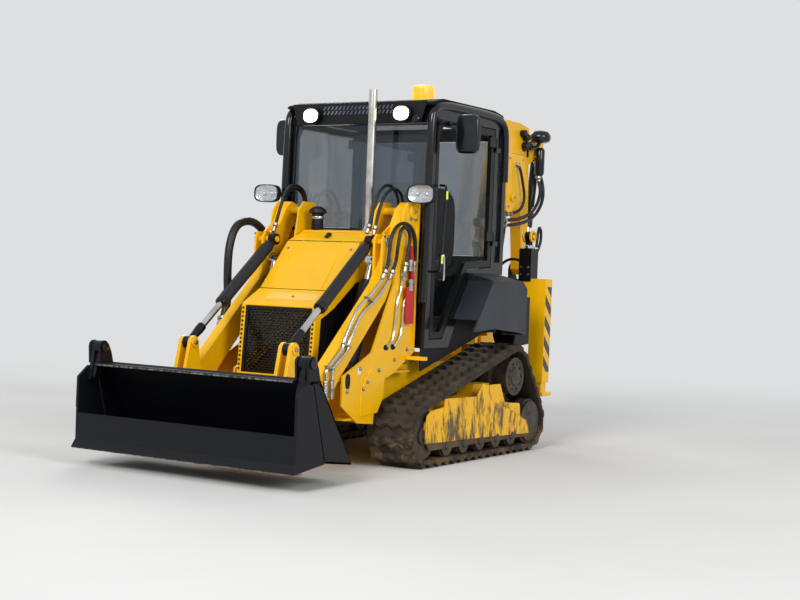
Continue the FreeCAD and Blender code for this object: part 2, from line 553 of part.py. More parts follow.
# Rear frame: two stabiliser posts joined by cross rails, with the slew bracket
post = cut("post", box("post_block", "post_outer - post_wide", "post_outer", "rear_frame_y",
                       "rear_frame_y + rear_frame_deep", "post_low", "post_top"),
           box("post_room", "post_outer - post_wide + post_wall", "post_outer - post_wall",
               "rear_frame_y + post_wall", "rear_frame_y + rear_frame_deep - post_wall", "post_low - 1",
               "post_top - post_wall"))
INSIDE = "post_outer - post_wide + 1"
rails = [box(f"rear_rail{i}", f"-({INSIDE})", INSIDE, "rear_frame_y", "rear_frame_y + rear_frame_deep", z,
             f"{z} + rail_high") for i, z in enumerate(("post_low + 24", "post_top - 130"))]
ears = [cut(f"slew_ear{i}", plate(f"slew_ear_plate{i}", z, 30, [
    (-120, "rear_frame_y + rear_frame_deep - 1"), (120, "rear_frame_y + rear_frame_deep - 1"),
    (50, 1100), (50, "slew_y + 36"), (-50, "slew_y + 36"), (-50, 1100)], plane="XY"),
    rod(f"slew_bore{i}", "z", 0, "slew_y", f"{z} - 1", 24, 32))
    for i, z in enumerate(("slew_low - 30.5", "slew_top + 0.5"))]
ear_web = box("slew_web", -110, 110, "rear_frame_y + rear_frame_deep - 1", "rear_frame_y + rear_frame_deep + 20",
              "slew_low - 20", "slew_top + 20")
slew_pin = rod("slew_pin", "z", 0, "slew_y", "slew_low - 30.5", 24, "slew_top - slew_low + 61")
node("rear_frame", fuse("rear_frame_all", both([post]) + rails + ears + [ear_web, slew_pin]))

# Covers of the stabiliser rams, on the upper rail beside the posts, each with its ram's eye on top
cover = fuse("cover", [
    box("cover_box", 492, "post_outer - post_wide - seat_gap", "rear_frame_y - 8", "rear_frame_y + rear_frame_deep",
        "post_top - 20 + seat_gap", 1370),
    box("cover_neck", 520, 552, "rear_frame_y + 25", "rear_frame_y + 75", 1369, 1450),
    rod("cover_eye", "x", 515, "rear_frame_y + 50", 1455, 34, 42),
])
node("stabiliser_covers", group("stabiliser_covers_all", both([cover])))

# Stabiliser legs slide down inside the posts; each carries a pad
LEG = "(post_wall + leg_clear)"
leg = fuse("leg", [
    box("leg_tube", f"post_outer - post_wide + {LEG}", f"post_outer - {LEG}", f"rear_frame_y + {LEG}",
        f"rear_frame_y + rear_frame_deep - {LEG}", "post_low - leg_reach", "post_top - 60"),
    box("leg_pad", "post_outer - post_wide - 20", "post_outer + 10", "rear_frame_y - 4",
        "rear_frame_y + rear_frame_deep + 30", "post_low - leg_reach - 24", "post_low - leg_reach + 1"),
])
node("stabiliser_leg_left", leg)
node("stabiliser_leg_right", mirrored(leg))

# Loader arms: two bent boxes joined by a cross tube
ARM = [("pivot_y - 70", 1560), (-882, 1096), (-1337, 671), ("hinge_y - 35", 455), ("hinge_y - 58", "hinge_z"),
       ("hinge_y - 30", "hinge_z - 50"), ("hinge_y + 20", "hinge_z - 60"), (-1390, 385), (-1248, 555),
       (-790, 1005), ("pivot_y + 62", "pivot_z"), ("pivot_y + 45", "pivot_z + 40"), ("pivot_y - 15", "pivot_z + 55")]
arm = plate("arm", "arm_x", "arm_wide", ARM, [("pivot_y", "pivot_z", "pivot_pin_rad + running"),
                                              ("hinge_y", "hinge_z", "hinge_pin_rad + running")])
LUG = [(-640, 1480), (-770, 1395), (-825, 1395), (-850, 1365), (-850, 1130), (-800, 1080), (-640, 1380)]
lugs = [plate(f"arm_lug{i}", x, 14, LUG) for i, x in enumerate(("arm_x", "arm_x + arm_wide - 14"))]
tilt_pin = rod("tilt_pin", "x", "ram_x - eye_wide / 2 - 8", "tilt_base_y", "tilt_base_z", "ram_pin_rad",
               "arm_x + arm_wide + 4 - ram_x + eye_wide / 2 + 8")
lift_boss = rod("lift_boss", "x", "ram_x + lift_wide / 2 + ear_gap", "lift_eye_y", "lift_eye_z", "eye_rad - 12",
                "arm_x + 1 - ram_x - lift_wide / 2 - ear_gap")
cross_tube = rod("cross_tube", "x", "-arm_x - 1", "cross_y", "cross_z", "cross_rad", "2 * arm_x + 2")
node("loader_arms", fuse("arms_all", both([arm] + lugs + [tilt_pin, lift_boss]) + [cross_tube]))

# Hydraulic rams: each is made along its own Z from the base eye, then leaned to point at its rod's eye


def ram(name, x, base, eye, barrel_rad, barrel_end, rod_rad, wide, retracted):
    """Barrel and rod bodies between two points of one YZ plane."""
    dy = f"({eye[0]} - ({base[0]}))"
    dz = f"({eye[1]} - ({base[1]}))"
    reach = f"sqrt({dy} * {dy} + {dz} * {dz})"
    pair = []
    barrel = new_body(name + "_barrel")
    turned(barrel, [(f"{rod_rad} + bore_clear", 62), (barrel_rad, 62), (barrel_rad, barrel_end),
                    (f"{rod_rad} + bore_clear", barrel_end)])
    turned(barrel, [(0, "eye_rad - 6"), (f"{barrel_rad} - 6", "eye_rad + 4"), (barrel_rad, 62.5), (0, 62.5)])
    pad(barrel, "YZ", f"-{wide} / 2", wide, circles=[(0, 0, "eye_rad")])
    pocket(barrel, "YZ", f"{wide} / 2 + 1", f"{wide} + 2", circles=[(0, 0, "ram_pin_rad + running")])
    pair.append(barrel)
    piston = new_body(name + "_rod")
    turned(piston, [(0, retracted), (rod_rad, retracted), (rod_rad, f"{reach} - eye_rad + 8"),
                    (0, f"{reach} - eye_rad + 8")])
    pad(piston, "YZ", f"-{wide} / 2", wide, circles=[(0, reach, "eye_rad")])
    pair.append(piston)
    for body in pair:
        body.Placement = Placement(Vector(), Rotation(Vector(1, 0, 0), 1))
        bind(body, Placement__Base__x=x, Placement__Base__y=base[0], Placement__Base__z=base[1],
             Placement__Rotation__Angle=f"atan2(-{dy}; {dz})")
    return pair


lift = ram("lift", "ram_x", ("lift_base_y", "lift_base_z"), ("lift_eye_y", "lift_eye_z"),
           "lift_barrel_rad", "lift_barrel_end", "lift_rod_rad", "lift_wide", 90)
tilt = ram("tilt", "ram_x", ("tilt_base_y", "tilt_base_z"), ("tilt_eye_y", "tilt_eye_z"),
           "tilt_barrel_rad", "tilt_barrel_end", "tilt_rod_rad", "eye_wide", 230)
for name, piece in (("lift_barrels", lift[0]), ("lift_rods", lift[1]), ("tilt_barrels", tilt[0]),
                    ("tilt_rods", tilt[1])):
    node(name, group(name + "_all", both([piece])))

# Shovel back: the board with its side plates behind the split, the posts and the ram brackets
BOARD = [(-1541, 108), (-1799, 137), (-1799, 151), (-1560, 124), (-1764, 410), (-1868, 560), (-2010, 570),
         (-2010, 586), (-1860, 573), (-1750, 415)]
POST_X = "(shovel_half - post_span)"
board = cut("board", plate("board_plate", "-shovel_half", "2 * shovel_half", BOARD), fuse("board_gaps", both([
    box("board_gap", POST_X + " + post_thick + 1", "shovel_half + 1", "clam_y - 76", "clam_y + 49", 555, 600)])))
CHEEK = [(-1541, 108), (-1799, 137), ("clam_y + 20", "clam_z - 110"), (-1860, 573), (-1750, 415)]
cheek = plate("cheek", "shovel_half - side_thick", "side_thick", CHEEK)
POST = [("clam_y - 34", "clam_z + 18"), ("clam_y", "clam_z + 38"), ("clam_y + 50", "clam_z - 20"),
        ("clam_y + 88", "clam_z - 130"), ("clam_y + 74", "clam_z - 130"), ("clam_y + 60", "clam_z - 92"),
        ("clam_y - 34", "clam_z - 92")]
posts = [plate(f"post_plate{i}", x, "post_thick", POST) for i, x in
         enumerate((POST_X, "shovel_half - post_thick"))]
EAR = [("tilt_eye_y - 40", "tilt_eye_z"), ("tilt_eye_y - 24", "tilt_eye_z + 32"),
       ("tilt_eye_y + 8", "tilt_eye_z + 40"), ("tilt_eye_y + 38", "tilt_eye_z + 12"),
       ("hinge_y + 25", "hinge_z + 40"), ("hinge_y + 45", "hinge_z - 5"), ("hinge_y + 22", "hinge_z - 42"),
       (-1600, 205), (-1760, 420), (-1840, 550), (-1760, 600)]
HINGE_EAR = [("hinge_y + 25", "hinge_z + 40"), ("hinge_y + 45", "hinge_z - 5"), ("hinge_y + 22", "hinge_z - 42"),
             (-1600, 205), (-1765, 430), ("hinge_y - 45", "hinge_z + 45")]
inner_face = "ram_x - eye_wide / 2 - ear_gap - ear_thick"
ears_pair = [plate("ear_inner", inner_face, "ear_thick", EAR),
             plate("ear_middle", "ram_x + eye_wide / 2 + ear_gap", "ear_thick", EAR),
             plate("ear_outer", "arm_x + arm_wide + 8", "ear_thick", HINGE_EAR)]
hinge_pin = rod("hinge_pin", "x", "ram_x + eye_wide / 2 + 2", "hinge_y", "hinge_z", "hinge_pin_rad",
                "arm_x + arm_wide + 26 - ram_x - eye_wide / 2")
clam_pin = rod("clam_pin", "x", POST_X, "clam_y", "clam_z", "clam_pin_rad", "post_span")
ear_caps = [rod("ear_cap_inner", "x", f"{inner_face} - 8", "tilt_eye_y", "tilt_eye_z", 24, 9),
            rod("ear_cap_outer", "x", "ram_x + eye_wide / 2 + ear_gap + ear_thick - 1", "tilt_eye_y",
                "tilt_eye_z", 24, 7)]
node("shovel_back", fuse("shovel_back_all", [board] + both([cheek, clam_pin] + posts + ears_pair + [hinge_pin] + ear_caps)))

# Shovel clam: the front jaw, hung from the posts, with its floor and cutting edge
jaw = plate("jaw", "-shovel_half", "2 * shovel_half", [
    (-1806, 133), (-2090, 100), (-2098, 106), (-2066, 150), (-2066, 300), (-2052, 300), (-2052, 150),
    (-2072, 118), (-1806, 147)])
JAW_SIDE = [(-1806, 133), (-2090, 100), (-2066, 150), (-2068, 508), ("clam_y - 46", "clam_z - 106"),
            ("clam_y + 12", "clam_z - 112")]
jaw_side = plate("jaw_side", "shovel_half - side_thick", "side_thick", JAW_SIDE)
JAW_ARM = [("clam_y - 32", "clam_z"), ("clam_y - 16", "clam_z + 30"), ("clam_y + 16", "clam_z + 30"),
           ("clam_y + 32", "clam_z"), ("clam_y + 14", 560), ("clam_y + 6", 490), ("clam_y - 60", 490),
           ("clam_y - 46", 560)]
jaw_arm = plate("jaw_arm", POST_X + " + post_thick + clam_gap", "post_span - 2 * post_thick - 2 * clam_gap",
                JAW_ARM, [("clam_y", "clam_z", "clam_pin_rad + running")])
jaw_tie = box("jaw_tie", POST_X + " + post_thick + clam_gap", "shovel_half - 1", "clam_y - 52", "clam_y - 2", 490, 550)
node("shovel_clam", fuse("clam_all", [jaw] + both([jaw_side, jaw_arm, jaw_tie])))

# Digging arm: carriage, boom, dipper, bucket and three rams
carriage = fuse("carriage", [
    cut("kingpost", rod("kingpost_bar", "z", 0, "slew_y", "slew_low", "slew_rad", "slew_top - slew_low"),
        rod("kingpost_bore", "z", 0, "slew_y", "slew_low - 1", "24 + running", "slew_top - slew_low + 2"))
] + both([plate("carriage_cheek", "boom_half + 5", 16, [
    ("slew_y - 10", "slew_low"), ("slew_y + 60", "slew_low"), ("foot_y + 55", "foot_z - 50"),
    ("foot_y + 55", "foot_z + 40"), ("boom_base_y + 50", "boom_base_z + 36"),
    ("boom_base_y - 32", "boom_base_z + 36"), ("boom_base_y - 32", "boom_base_z - 40"),
    ("slew_y + 80", "boom_base_z - 40"), ("slew_y + 80", "slew_top - 8"), ("slew_y - 10", "slew_top - 8")])]) + [
    rod("foot_pin", "x", "-boom_half - 22", "foot_y", "foot_z", "boom_pin_rad", "2 * boom_half + 44"),
    rod("boom_ram_pin", "x", "-boom_half - 22", "boom_base_y", "boom_base_z", "ram_pin_rad",
        "2 * boom_half + 44"),
])
kingpost_web = box("kingpost_web", "-boom_half - 6", "boom_half + 6", "slew_y + 30", "slew_y + 62",
                   "slew_low", "slew_low + 60")
top_web = box("kingpost_top_web", "-boom_half - 6", "boom_half + 6", "slew_y + 30", "slew_y + 50",
              "slew_top - 70", "slew_top - 8")
node("hoe_carriage", fuse("carriage_all", [carriage, kingpost_web, top_web]))

BOOM = [("foot_y + 52", "foot_z"), ("foot_y + 30", "foot_z - 42"), ("foot_y - 30", "foot_z - 42"),
        ("foot_y - 52", "foot_z + 20"), (1232, 900), ("dip_base_y + 40", "dip_base_z - 310"),
        ("dip_base_y + 50", "dip_base_z - 60"), ("dip_base_y + 145", "dip_base_z + 440"), (1434, 2330),
        (1500, 2335), ("head_y + 40", 2240), ("head_y + 55", "head_z"), ("head_y + 10", "head_z - 60"),
        (1560, 1900), (1440, 1500), (1390, 1200), (1370, 900)]
boom = plate("boom", "-boom_half", "2 * boom_half", BOOM, [("foot_y", "foot_z", "boom_pin_rad + running")])
slots = [  # room for the two rams and the dipper, cut down the boom's middle
    plate("boom_slot_low", "-hoe_barrel_rad - 6", "2 * hoe_barrel_rad + 12", [
        (1100, 700), (1290, 760), (1310, 1300), (1240, "dip_base_z - 80"), (1100, "dip_base_z - 80")]),
    plate("boom_slot_ram", "-hoe_barrel_rad - 6", "2 * hoe_barrel_rad + 12", [
        (1100, "dip_base_z - 60"), ("dip_base_y + 80", "dip_base_z"), (1640, "dip_base_z + 400"), (1700, 2440),
        (1500, 2440), (1100, "dip_base_z + 140")]),
    plate("boom_slot_head", "-dipper_half - 5", "2 * dipper_half + 10", [
        (1505, 1900), (1505, 2440), (1900, 2440), (1900, 1860), (1580, 1860)]),
]
boom_ears = both([plate("boom_ear", "eye_wide / 2 + ear_gap", 18, [
    ("boom_eye_y - 30", "boom_eye_z"), ("boom_eye_y - 16", "boom_eye_z + 28"), ("boom_eye_y + 130", "boom_eye_z + 70"),
    ("boom_eye_y + 130", "boom_eye_z - 70"), ("boom_eye_y - 16", "boom_eye_z - 28")])])
dip_ears = both([plate("dip_ear", "eye_wide / 2 + ear_gap", 18, [
    ("dip_base_y - 30", "dip_base_z"), ("dip_base_y - 16", "dip_base_z + 26"), ("dip_base_y + 14", "dip_base_z + 22"),
    ("dip_base_y + 100", "dip_base_z - 24"), ("dip_base_y + 100", "dip_base_z - 70"),
    ("dip_base_y - 16", "dip_base_z - 28")])])
dip_pin = rod("dip_pin", "x", "-eye_wide / 2 - 10", "dip_base_y", "dip_base_z", "ram_pin_rad", "eye_wide + 20")
head_pin = rod("head_pin", "x", "-boom_half - 8", "head_y", "head_z", "boom_pin_rad", "2 * boom_half + 16")
boom_cut = cut("boom_cut", boom, fuse("boom_slots", slots))
node("hoe_boom", fuse("boom_all", [boom_cut, head_pin, dip_pin] + boom_ears + dip_ears))

DIPPER = [("head_y - 48", "head_z"), ("dip_eye_y - 34", "dip_eye_z - 10"), ("dip_eye_y - 20", "dip_eye_z + 34"),
          ("dip_eye_y + 20", "dip_eye_z + 34"), ("head_y + 60", "head_z + 55"), ("crowd_base_y + 26", "crowd_base_z + 24"),
          ("crowd_base_y + 26", "crowd_base_z - 30"), ("head_y + 110", "head_z - 130"),
          ("wrist_y + 60", "wrist_z + 100"), ("wrist_y + 42", "wrist_z"), ("wrist_y", "wrist_z - 42"),
          ("wrist_y - 42", "wrist_z"), ("wrist_y - 50", "wrist_z + 120"), ("head_y - 40", "head_z - 200")]
dipper = plate("dipper", "-dipper_half", "2 * dipper_half", DIPPER, [
    ("head_y", "head_z", "boom_pin_rad + running"), ("wrist_y", "wrist_z", "boom_pin_rad + running")])
dipper_slots = fuse("dipper_slots", [
    plate("dipper_slot_tail", "-eye_wide / 2 - 1", "eye_wide + 2", [
        ("dip_eye_y - 110", "dip_eye_z - 70"), ("dip_eye_y - 70", "dip_eye_z + 90"),
        ("dip_eye_y + 110", "dip_eye_z + 90"), ("head_y + 10", "head_z + 58"), ("head_y - 52", "head_z + 20"),
        ("head_y - 62", "head_z - 40")]),
    plate("dipper_slot_rear", "-hoe_barrel_rad - 4", "2 * hoe_barrel_rad + 8", [
        ("crowd_base_y - 50", "crowd_base_z + 80"), ("crowd_base_y + 80", "crowd_base_z + 80"),
        ("crowd_base_y + 80", "crowd_base_z - 90"), ("crowd_base_y - 60", "crowd_base_z - 90")]),
])
dipper_cut = cut("dipper_cut", dipper, dipper_slots)
crowd_pin = rod("crowd_pin", "x", "-dipper_half", "crowd_base_y", "crowd_base_z", "ram_pin_rad", "2 * dipper_half")
node("hoe_dipper", fuse("dipper_all", [dipper_cut, crowd_pin]))

bucket = new_body("bucket")
pad(bucket, "YZ", "-bucket_half", "2 * bucket_half", [(1880, 1090), (1925, 1090), (1964, 958), (1896, 764), (1756, 664),
                                                      (1520, 646), (1500, 650), (1515, 660), (1700, 1110)])
pocket(bucket, "YZ", "bucket_half - bucket_wall", "2 * bucket_half - 2 * bucket_wall", [
    (1870, 1080), (1914, 1078), (1950, 956), (1886, 774), (1750, 676), (1516, 656), (1440, 660), (1640, 1300)])
bucket_lugs = both([plate("bucket_lug", "dipper_half + 5", 14, [
    ("wrist_y - 44", "wrist_z"), ("wrist_y - 20", "wrist_z + 42"), ("wrist_y + 24", "wrist_z + 40"),
    ("crowd_eye_y + 36", "crowd_eye_z + 10"), (1930, 1080), (1880, 1040), (1790, 1100)])])
bucket_ears = both([plate("bucket_ear", "eye_wide / 2 + ear_gap", 18, [
    ("crowd_eye_y - 30", "crowd_eye_z"), ("crowd_eye_y - 16", "crowd_eye_z + 28"),
    ("crowd_eye_y + 16", "crowd_eye_z + 28"), ("crowd_eye_y + 30", "crowd_eye_z"),
    ("crowd_eye_y + 34", "crowd_eye_z - 44"), ("crowd_eye_y - 14", "crowd_eye_z - 44")])])
wrist_pin = rod("wrist_pin", "x", "-dipper_half - 6", "wrist_y", "wrist_z", "boom_pin_rad", "2 * dipper_half + 12")
node("hoe_bucket", fuse("bucket_all", [bucket, wrist_pin] + bucket_lugs + bucket_ears))

HOE_RAMS = [  # name, base, eye, barrel end, rod's inner end
    ("boom_ram", "boom_base", "boom_eye", 450, 80),
    ("dipper_ram", "dip_base", "dip_eye", 520, 330),
    ("bucket_ram", "crowd_base", "crowd_eye", 640, 380),
]
for name, base, eye, barrel_end, inner_end in HOE_RAMS:
    barrel, piston = ram(name, 0, (base + "_y", base + "_z"), (eye + "_y", eye + "_z"),
                         "hoe_barrel_rad", barrel_end, "hoe_rod_rad", "eye_wide", inner_end)
    node(name + "_barrel", barrel)
    node(name + "_rod", piston)

doc.recompute()

faults = [item.Label for item in doc.Objects if {"Invalid", "Error"} & set(item.State)]
for name, item in NODES.items():
    shape = item.Shape
    if shape.isNull() or not shape.isValid() or not shape.Solids:
        faults.append(name)
if faults:
    raise SystemExit("failed objects: " + ", ".join(faults))

os.makedirs("parts", exist_ok=True)
for name, item in NODES.items():
    item.Shape.exportStep(f"parts/{name}.step")
    size = item.Shape.BoundBox
    print(f"{name:22s} solids {len(item.Shape.Solids):2d}  x {size.XMin:7.0f} {size.XMax:7.0f}"
          f"  y {size.YMin:7.0f} {size.YMax:7.0f}  z {size.ZMin:7.0f} {size.ZMax:7.0f}")
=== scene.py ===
# %% [markdown]
# # A compact tracked backhoe loader
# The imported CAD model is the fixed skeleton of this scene. It gives every plate, pin and track its place, and this
# script gives them their paint, mud, glass and chrome, and adds the hoses, lamps and pressed details that a CAD
# model leaves plain. Everything is in metres, with the ground at z = 0, the front towards -Y and the left side at +X.

# %% Load the frame
import json
import math

import bmesh
import bpy
import mathutils
import numpy as np
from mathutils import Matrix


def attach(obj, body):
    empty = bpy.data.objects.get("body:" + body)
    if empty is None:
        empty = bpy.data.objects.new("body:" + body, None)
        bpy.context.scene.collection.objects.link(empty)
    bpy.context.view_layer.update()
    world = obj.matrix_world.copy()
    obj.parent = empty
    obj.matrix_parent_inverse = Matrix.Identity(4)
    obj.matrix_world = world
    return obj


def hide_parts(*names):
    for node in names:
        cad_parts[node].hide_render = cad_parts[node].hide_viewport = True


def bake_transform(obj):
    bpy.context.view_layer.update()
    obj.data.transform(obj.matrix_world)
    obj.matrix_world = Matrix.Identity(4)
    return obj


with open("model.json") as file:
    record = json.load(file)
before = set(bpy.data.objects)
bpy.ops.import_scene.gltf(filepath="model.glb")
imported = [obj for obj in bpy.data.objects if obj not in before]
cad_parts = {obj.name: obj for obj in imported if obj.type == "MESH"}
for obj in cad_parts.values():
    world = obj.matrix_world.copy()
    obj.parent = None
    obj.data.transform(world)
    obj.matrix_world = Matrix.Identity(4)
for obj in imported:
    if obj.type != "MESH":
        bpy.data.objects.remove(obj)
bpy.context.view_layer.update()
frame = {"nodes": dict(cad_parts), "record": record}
nodes = frame["nodes"]

# %% [markdown]
# ## The camera
# The photograph was taken from the front left, from about the height of the bonnet and some ten metres away. The lens
# and the place were solved from points whose heights and widths are known on the machine, such as the two lamps, the
# two mirrors and the ends of the shovel. The camera has no shift and no depth of field.

# %% Camera
view_place = (5.2410, -8.2375, 1.1741)
view_right = (0.84671534, 0.53066913, 0.03825465)
view_up = (-0.04255745, -0.00411861, 0.99908553)
view_back = (0.5303414, -0.84756906, 0.01909663)

camera_data = bpy.data.cameras.new("camera")
camera_data.lens = 66.26
camera_data.sensor_width = 36.0
camera = bpy.data.objects.new("camera", camera_data)
bpy.context.scene.collection.objects.link(camera)
rows = [(view_right[i], view_up[i], view_back[i], view_place[i]) for i in range(3)]
camera.matrix_world = mathutils.Matrix(rows + [(0, 0, 0, 1)])
bpy.context.scene.camera = camera

# %% [markdown]
# ## Colours and a node helper
# A colour on a paint card is an sRGB value, while a renderer adds light in linear values, so one function turns the
# first into the second. A second function adds one shader node, fills its sockets and makes its links, which keeps
# each material below down to the lines that say what is special about it.

# %% Colour and node helpers
def linear(code):
    """An sRGB hex code as linear RGBA: each channel c becomes ((c + 0.055) / 1.055) ** 2.4, or c / 12.92 near black."""
    channels = np.array([int(code[i:i + 2], 16) for i in (1, 3, 5)]) / 255
    values = np.where(channels <= 0.04045, channels / 12.92, ((channels + 0.055) / 1.055) ** 2.4)
    return (*values.tolist(), 1.0)


def add(tree, kind, inputs=None, **settings):
    """One node with its settings; inputs maps a socket's name or number to a value, or to another node's output."""
    made = tree.nodes.new(kind)
    for name, value in settings.items():
        setattr(made, name, value)
    for name, value in (inputs or {}).items():
        socket = made.inputs[name]
        if isinstance(value, bpy.types.NodeSocket):
            tree.links.new(value, socket)
        else:
            socket.default_value = value
    return made


def mix(tree, share, low, high):
    """The colour low where share is 0 and high where it is 1. The node's colour sockets are its numbers 6 and 7."""
    return add(tree, "ShaderNodeMix", {0: share, 6: low, 7: high}, data_type="RGBA").outputs[2]


def new_material(name, **sockets):
    """A material whose Principled shader has these sockets set; gives the material, its tree and its shader."""
    material = bpy.data.materials.new(name)
    material.use_nodes = True
    tree = material.node_tree
    shader = tree.nodes["Principled BSDF"]
    for socket, value in sockets.items():
        shader.inputs[socket.replace("_", " ")].default_value = value
    return material, tree, shader


# %% [markdown]
# ## Mud
# The machine has been digging in wet clay. Mud is thick near the ground, streaked further up and gone above the door.
# The mask is a coarse noise, about the size of a handprint, and a fine one for splashes, both pushed up or down by the
# height above the ground.

# %% Mud mask
MUD_WET, MUD_DRY = linear("#3C2F23"), linear("#6A583F")
HANDPRINT, SPLASH = 1 / 0.13, 1 / 0.018
SPLASH_SHARE = 0.35
ABOVE_TOP = -0.55
MUD_BEGINS, MUD_COVERS = 0.86, 1.02


def mud_mask(tree, top, strength, streak=1.0):
    """From 0, clean, to 1, covered: noise plus strength times how far the point lies below top, in metres. A streak
    above 1 draws the noise out upwards that many times, as clay runs down a wet plate."""
    place = add(tree, "ShaderNodeTexCoord").outputs["Object"]
    drawn = add(tree, "ShaderNodeMapping", {"Vector": place, "Scale": (1, 1, 1 / streak)}).outputs["Vector"]
    coarse = add(tree, "ShaderNodeTexNoise", {"Vector": drawn, "Scale": HANDPRINT * streak ** 0.5, "Detail": 5.0,
        "Roughness": 0.6})
    fine = add(tree, "ShaderNodeTexNoise", {"Vector": drawn, "Scale": SPLASH, "Detail": 3.0, "Roughness": 0.65})
    height = add(tree, "ShaderNodeSeparateXYZ", {"Vector": place}).outputs["Z"]
    low = add(tree, "ShaderNodeMapRange", {"Value": height, "From Min": top, "From Max": 0.0, "To Min": ABOVE_TOP,
        "To Max": strength}, clamp=True)
    blend = add(tree, "ShaderNodeMath", {0: coarse.outputs["Fac"], 1: low.outputs["Result"]}, operation="ADD")
    spread = add(tree, "ShaderNodeMath", {0: fine.outputs["Fac"], 1: SPLASH_SHARE, 2: blend.outputs[0]},
                 operation="MULTIPLY_ADD")
    mask = add(tree, "ShaderNodeMapRange", {"Value": spread.outputs[0], "From Min": MUD_BEGINS, "From Max": MUD_COVERS},
        clamp=True)
    return mask.outputs["Result"], fine.outputs["Fac"], coarse.outputs["Fac"]


def muddy(tree, shader, colour, top, strength, rough, grit=0.25, dust=0.10, streak=1.0):
    """Lays mud over a painted colour: brown where the mask is, dull, and standing up a little as a bump."""
    mask, fine, coarse = mud_mask(tree, top, strength, streak)
    shade = add(tree, "ShaderNodeMapRange", {"Value": coarse, "From Min": 0.3, "From Max": 0.7})
    brown = mix(tree, shade.outputs["Result"], MUD_WET, MUD_DRY)
    film = add(tree, "ShaderNodeMath", {0: fine, 1: dust}, operation="MULTIPLY")
    full = mix(tree, mask, mix(tree, film.outputs[0], colour, MUD_DRY), brown)
    dull = add(tree, "ShaderNodeMapRange", {"Value": mask, "To Min": rough, "To Max": 0.85})
    lump = add(tree, "ShaderNodeMath", {0: mask, 1: fine}, operation="MULTIPLY")
    bump = add(tree, "ShaderNodeBump", {"Height": lump.outputs[0], "Strength": grit, "Distance": 0.006})
    tree.links.new(full, shader.inputs["Base Color"])
    tree.links.new(dull.outputs["Result"], shader.inputs["Roughness"])
    tree.links.new(bump.outputs["Normal"], shader.inputs["Normal"])


# %% [markdown]
# ## Paints
# The steel plates are sprayed with a two-part polyurethane enamel, baked to a gloss. The amber colour shifts a
# little from panel to panel and is dusty on upward faces. The black plates, pillars and rams have the same enamel.
# A clear coat on the shader gives the thin sharp reflection that such paint shows over a broader one.

# %% Enamels
AMBER = "#F4B800"


def enamel(name, code, top, strength, rough=0.32, coat=0.15, gloss=0.3, dust=0.06, streak=1.0):
    """A sprayed enamel: its colour varies a few percent in patches as wide as a hand, under mud."""
    material, tree, shader = new_material(name, Coat_Weight=coat, Coat_Roughness=0.08, Specular_IOR_Level=gloss)
    place = add(tree, "ShaderNodeTexCoord").outputs["Object"]
    patch = add(tree, "ShaderNodeTexNoise", {"Vector": place, "Scale": 4.0, "Detail": 2.0})
    base = np.array(linear(code)[:3])
    colour = mix(tree, patch.outputs["Fac"], (*(base * 0.88), 1.0), (*np.minimum(base * 1.1, 1.0), 1.0))
    muddy(tree, shader, colour, top, strength, rough, dust=dust, streak=streak)
    return material


amber_enamel = enamel("amber_enamel", AMBER, 0.85, 0.30)
amber_low = enamel("amber_enamel_muddy", AMBER, 0.75, 0.72, rough=0.4)
amber_clean = enamel("amber_enamel_bonnet", AMBER, 0.5, -0.1)
# The pale amber below is a painted highlight: a lighter copy of the bonnet paint, laid where light catches its curve.
amber_painted_highlight = enamel("amber_enamel_painted_highlight", "#F7C858", 0.5, -0.1)
amber_streaked = enamel("amber_enamel_streaked", AMBER, 3.0, 0.30, rough=0.4, streak=3.2)
black_enamel = enamel("black_enamel", "#08090C", 0.8, 0.0, rough=0.36, coat=0.0, gloss=0.28, dust=0.02)
black_roof = enamel("black_enamel_roof", "#08090C", 0.8, 0.0, rough=0.7, coat=0.0, gloss=0.12, dust=0.02)
black_gloss = enamel("black_gloss_enamel", "#0A0C11", 0.6, -0.1, rough=0.16, coat=0.25, gloss=0.3, dust=0.01)
digging_enamel = enamel("worn_black_enamel", "#080B12", 0.42, 0.26, rough=0.42, coat=0.0, gloss=0.22, dust=0.02)
plate_white = enamel("blank_plate_white", "#E4E2DC", 0.5, 0.0)
red_enamel = enamel("red_enamel", "#B80D12", 0.5, -0.1)

# %% [markdown]
# ## Rubber, plastic, steel and glass
# The tracks are carbon-black rubber that the clay has stained brown all over. The fenders and lamp shells are
# moulded ABS with a fine grain, about a millimetre across. Rods are hard chrome, and the exhaust is bright
# stainless tube with a faint drawn grain along its length. The cab glass is tempered and lightly tinted.

# %% Other finishes
def mixed(tree, low, high, scale, contrast=(0.35, 0.65)):
    """Two colours blended by a noise of the given scale, in turns per metre; gives the colour and the noise."""
    place = add(tree, "ShaderNodeTexCoord").outputs["Object"]
    noise = add(tree, "ShaderNodeTexNoise", {"Vector": place, "Scale": scale, "Detail": 4.0}).outputs["Fac"]
    share = add(tree, "ShaderNodeMapRange", {"Value": noise, "From Min": contrast[0], "From Max": contrast[1]})
    return mix(tree, share.outputs["Result"], linear(low), linear(high)), noise


def mottled(name, low, high, scale, mud=None, dull=None, contrast=(0.35, 0.65), **sockets):
    """A material whose colour wanders between two. Mud holds the settings for muddy(), and dull the two roughness
    values that the same noise moves between."""
    material, tree, shader = new_material(name, **sockets)
    colour, noise = mixed(tree, low, high, scale, contrast)
    if mud:
        muddy(tree, shader, colour, **mud)
    else:
        tree.links.new(colour, shader.inputs["Base Color"])
    if dull:
        rough = add(tree, "ShaderNodeMapRange", {"Value": noise, "To Min": dull[0], "To Max": dull[1]})
        tree.links.new(rough.outputs["Result"], shader.inputs["Roughness"])
    return material


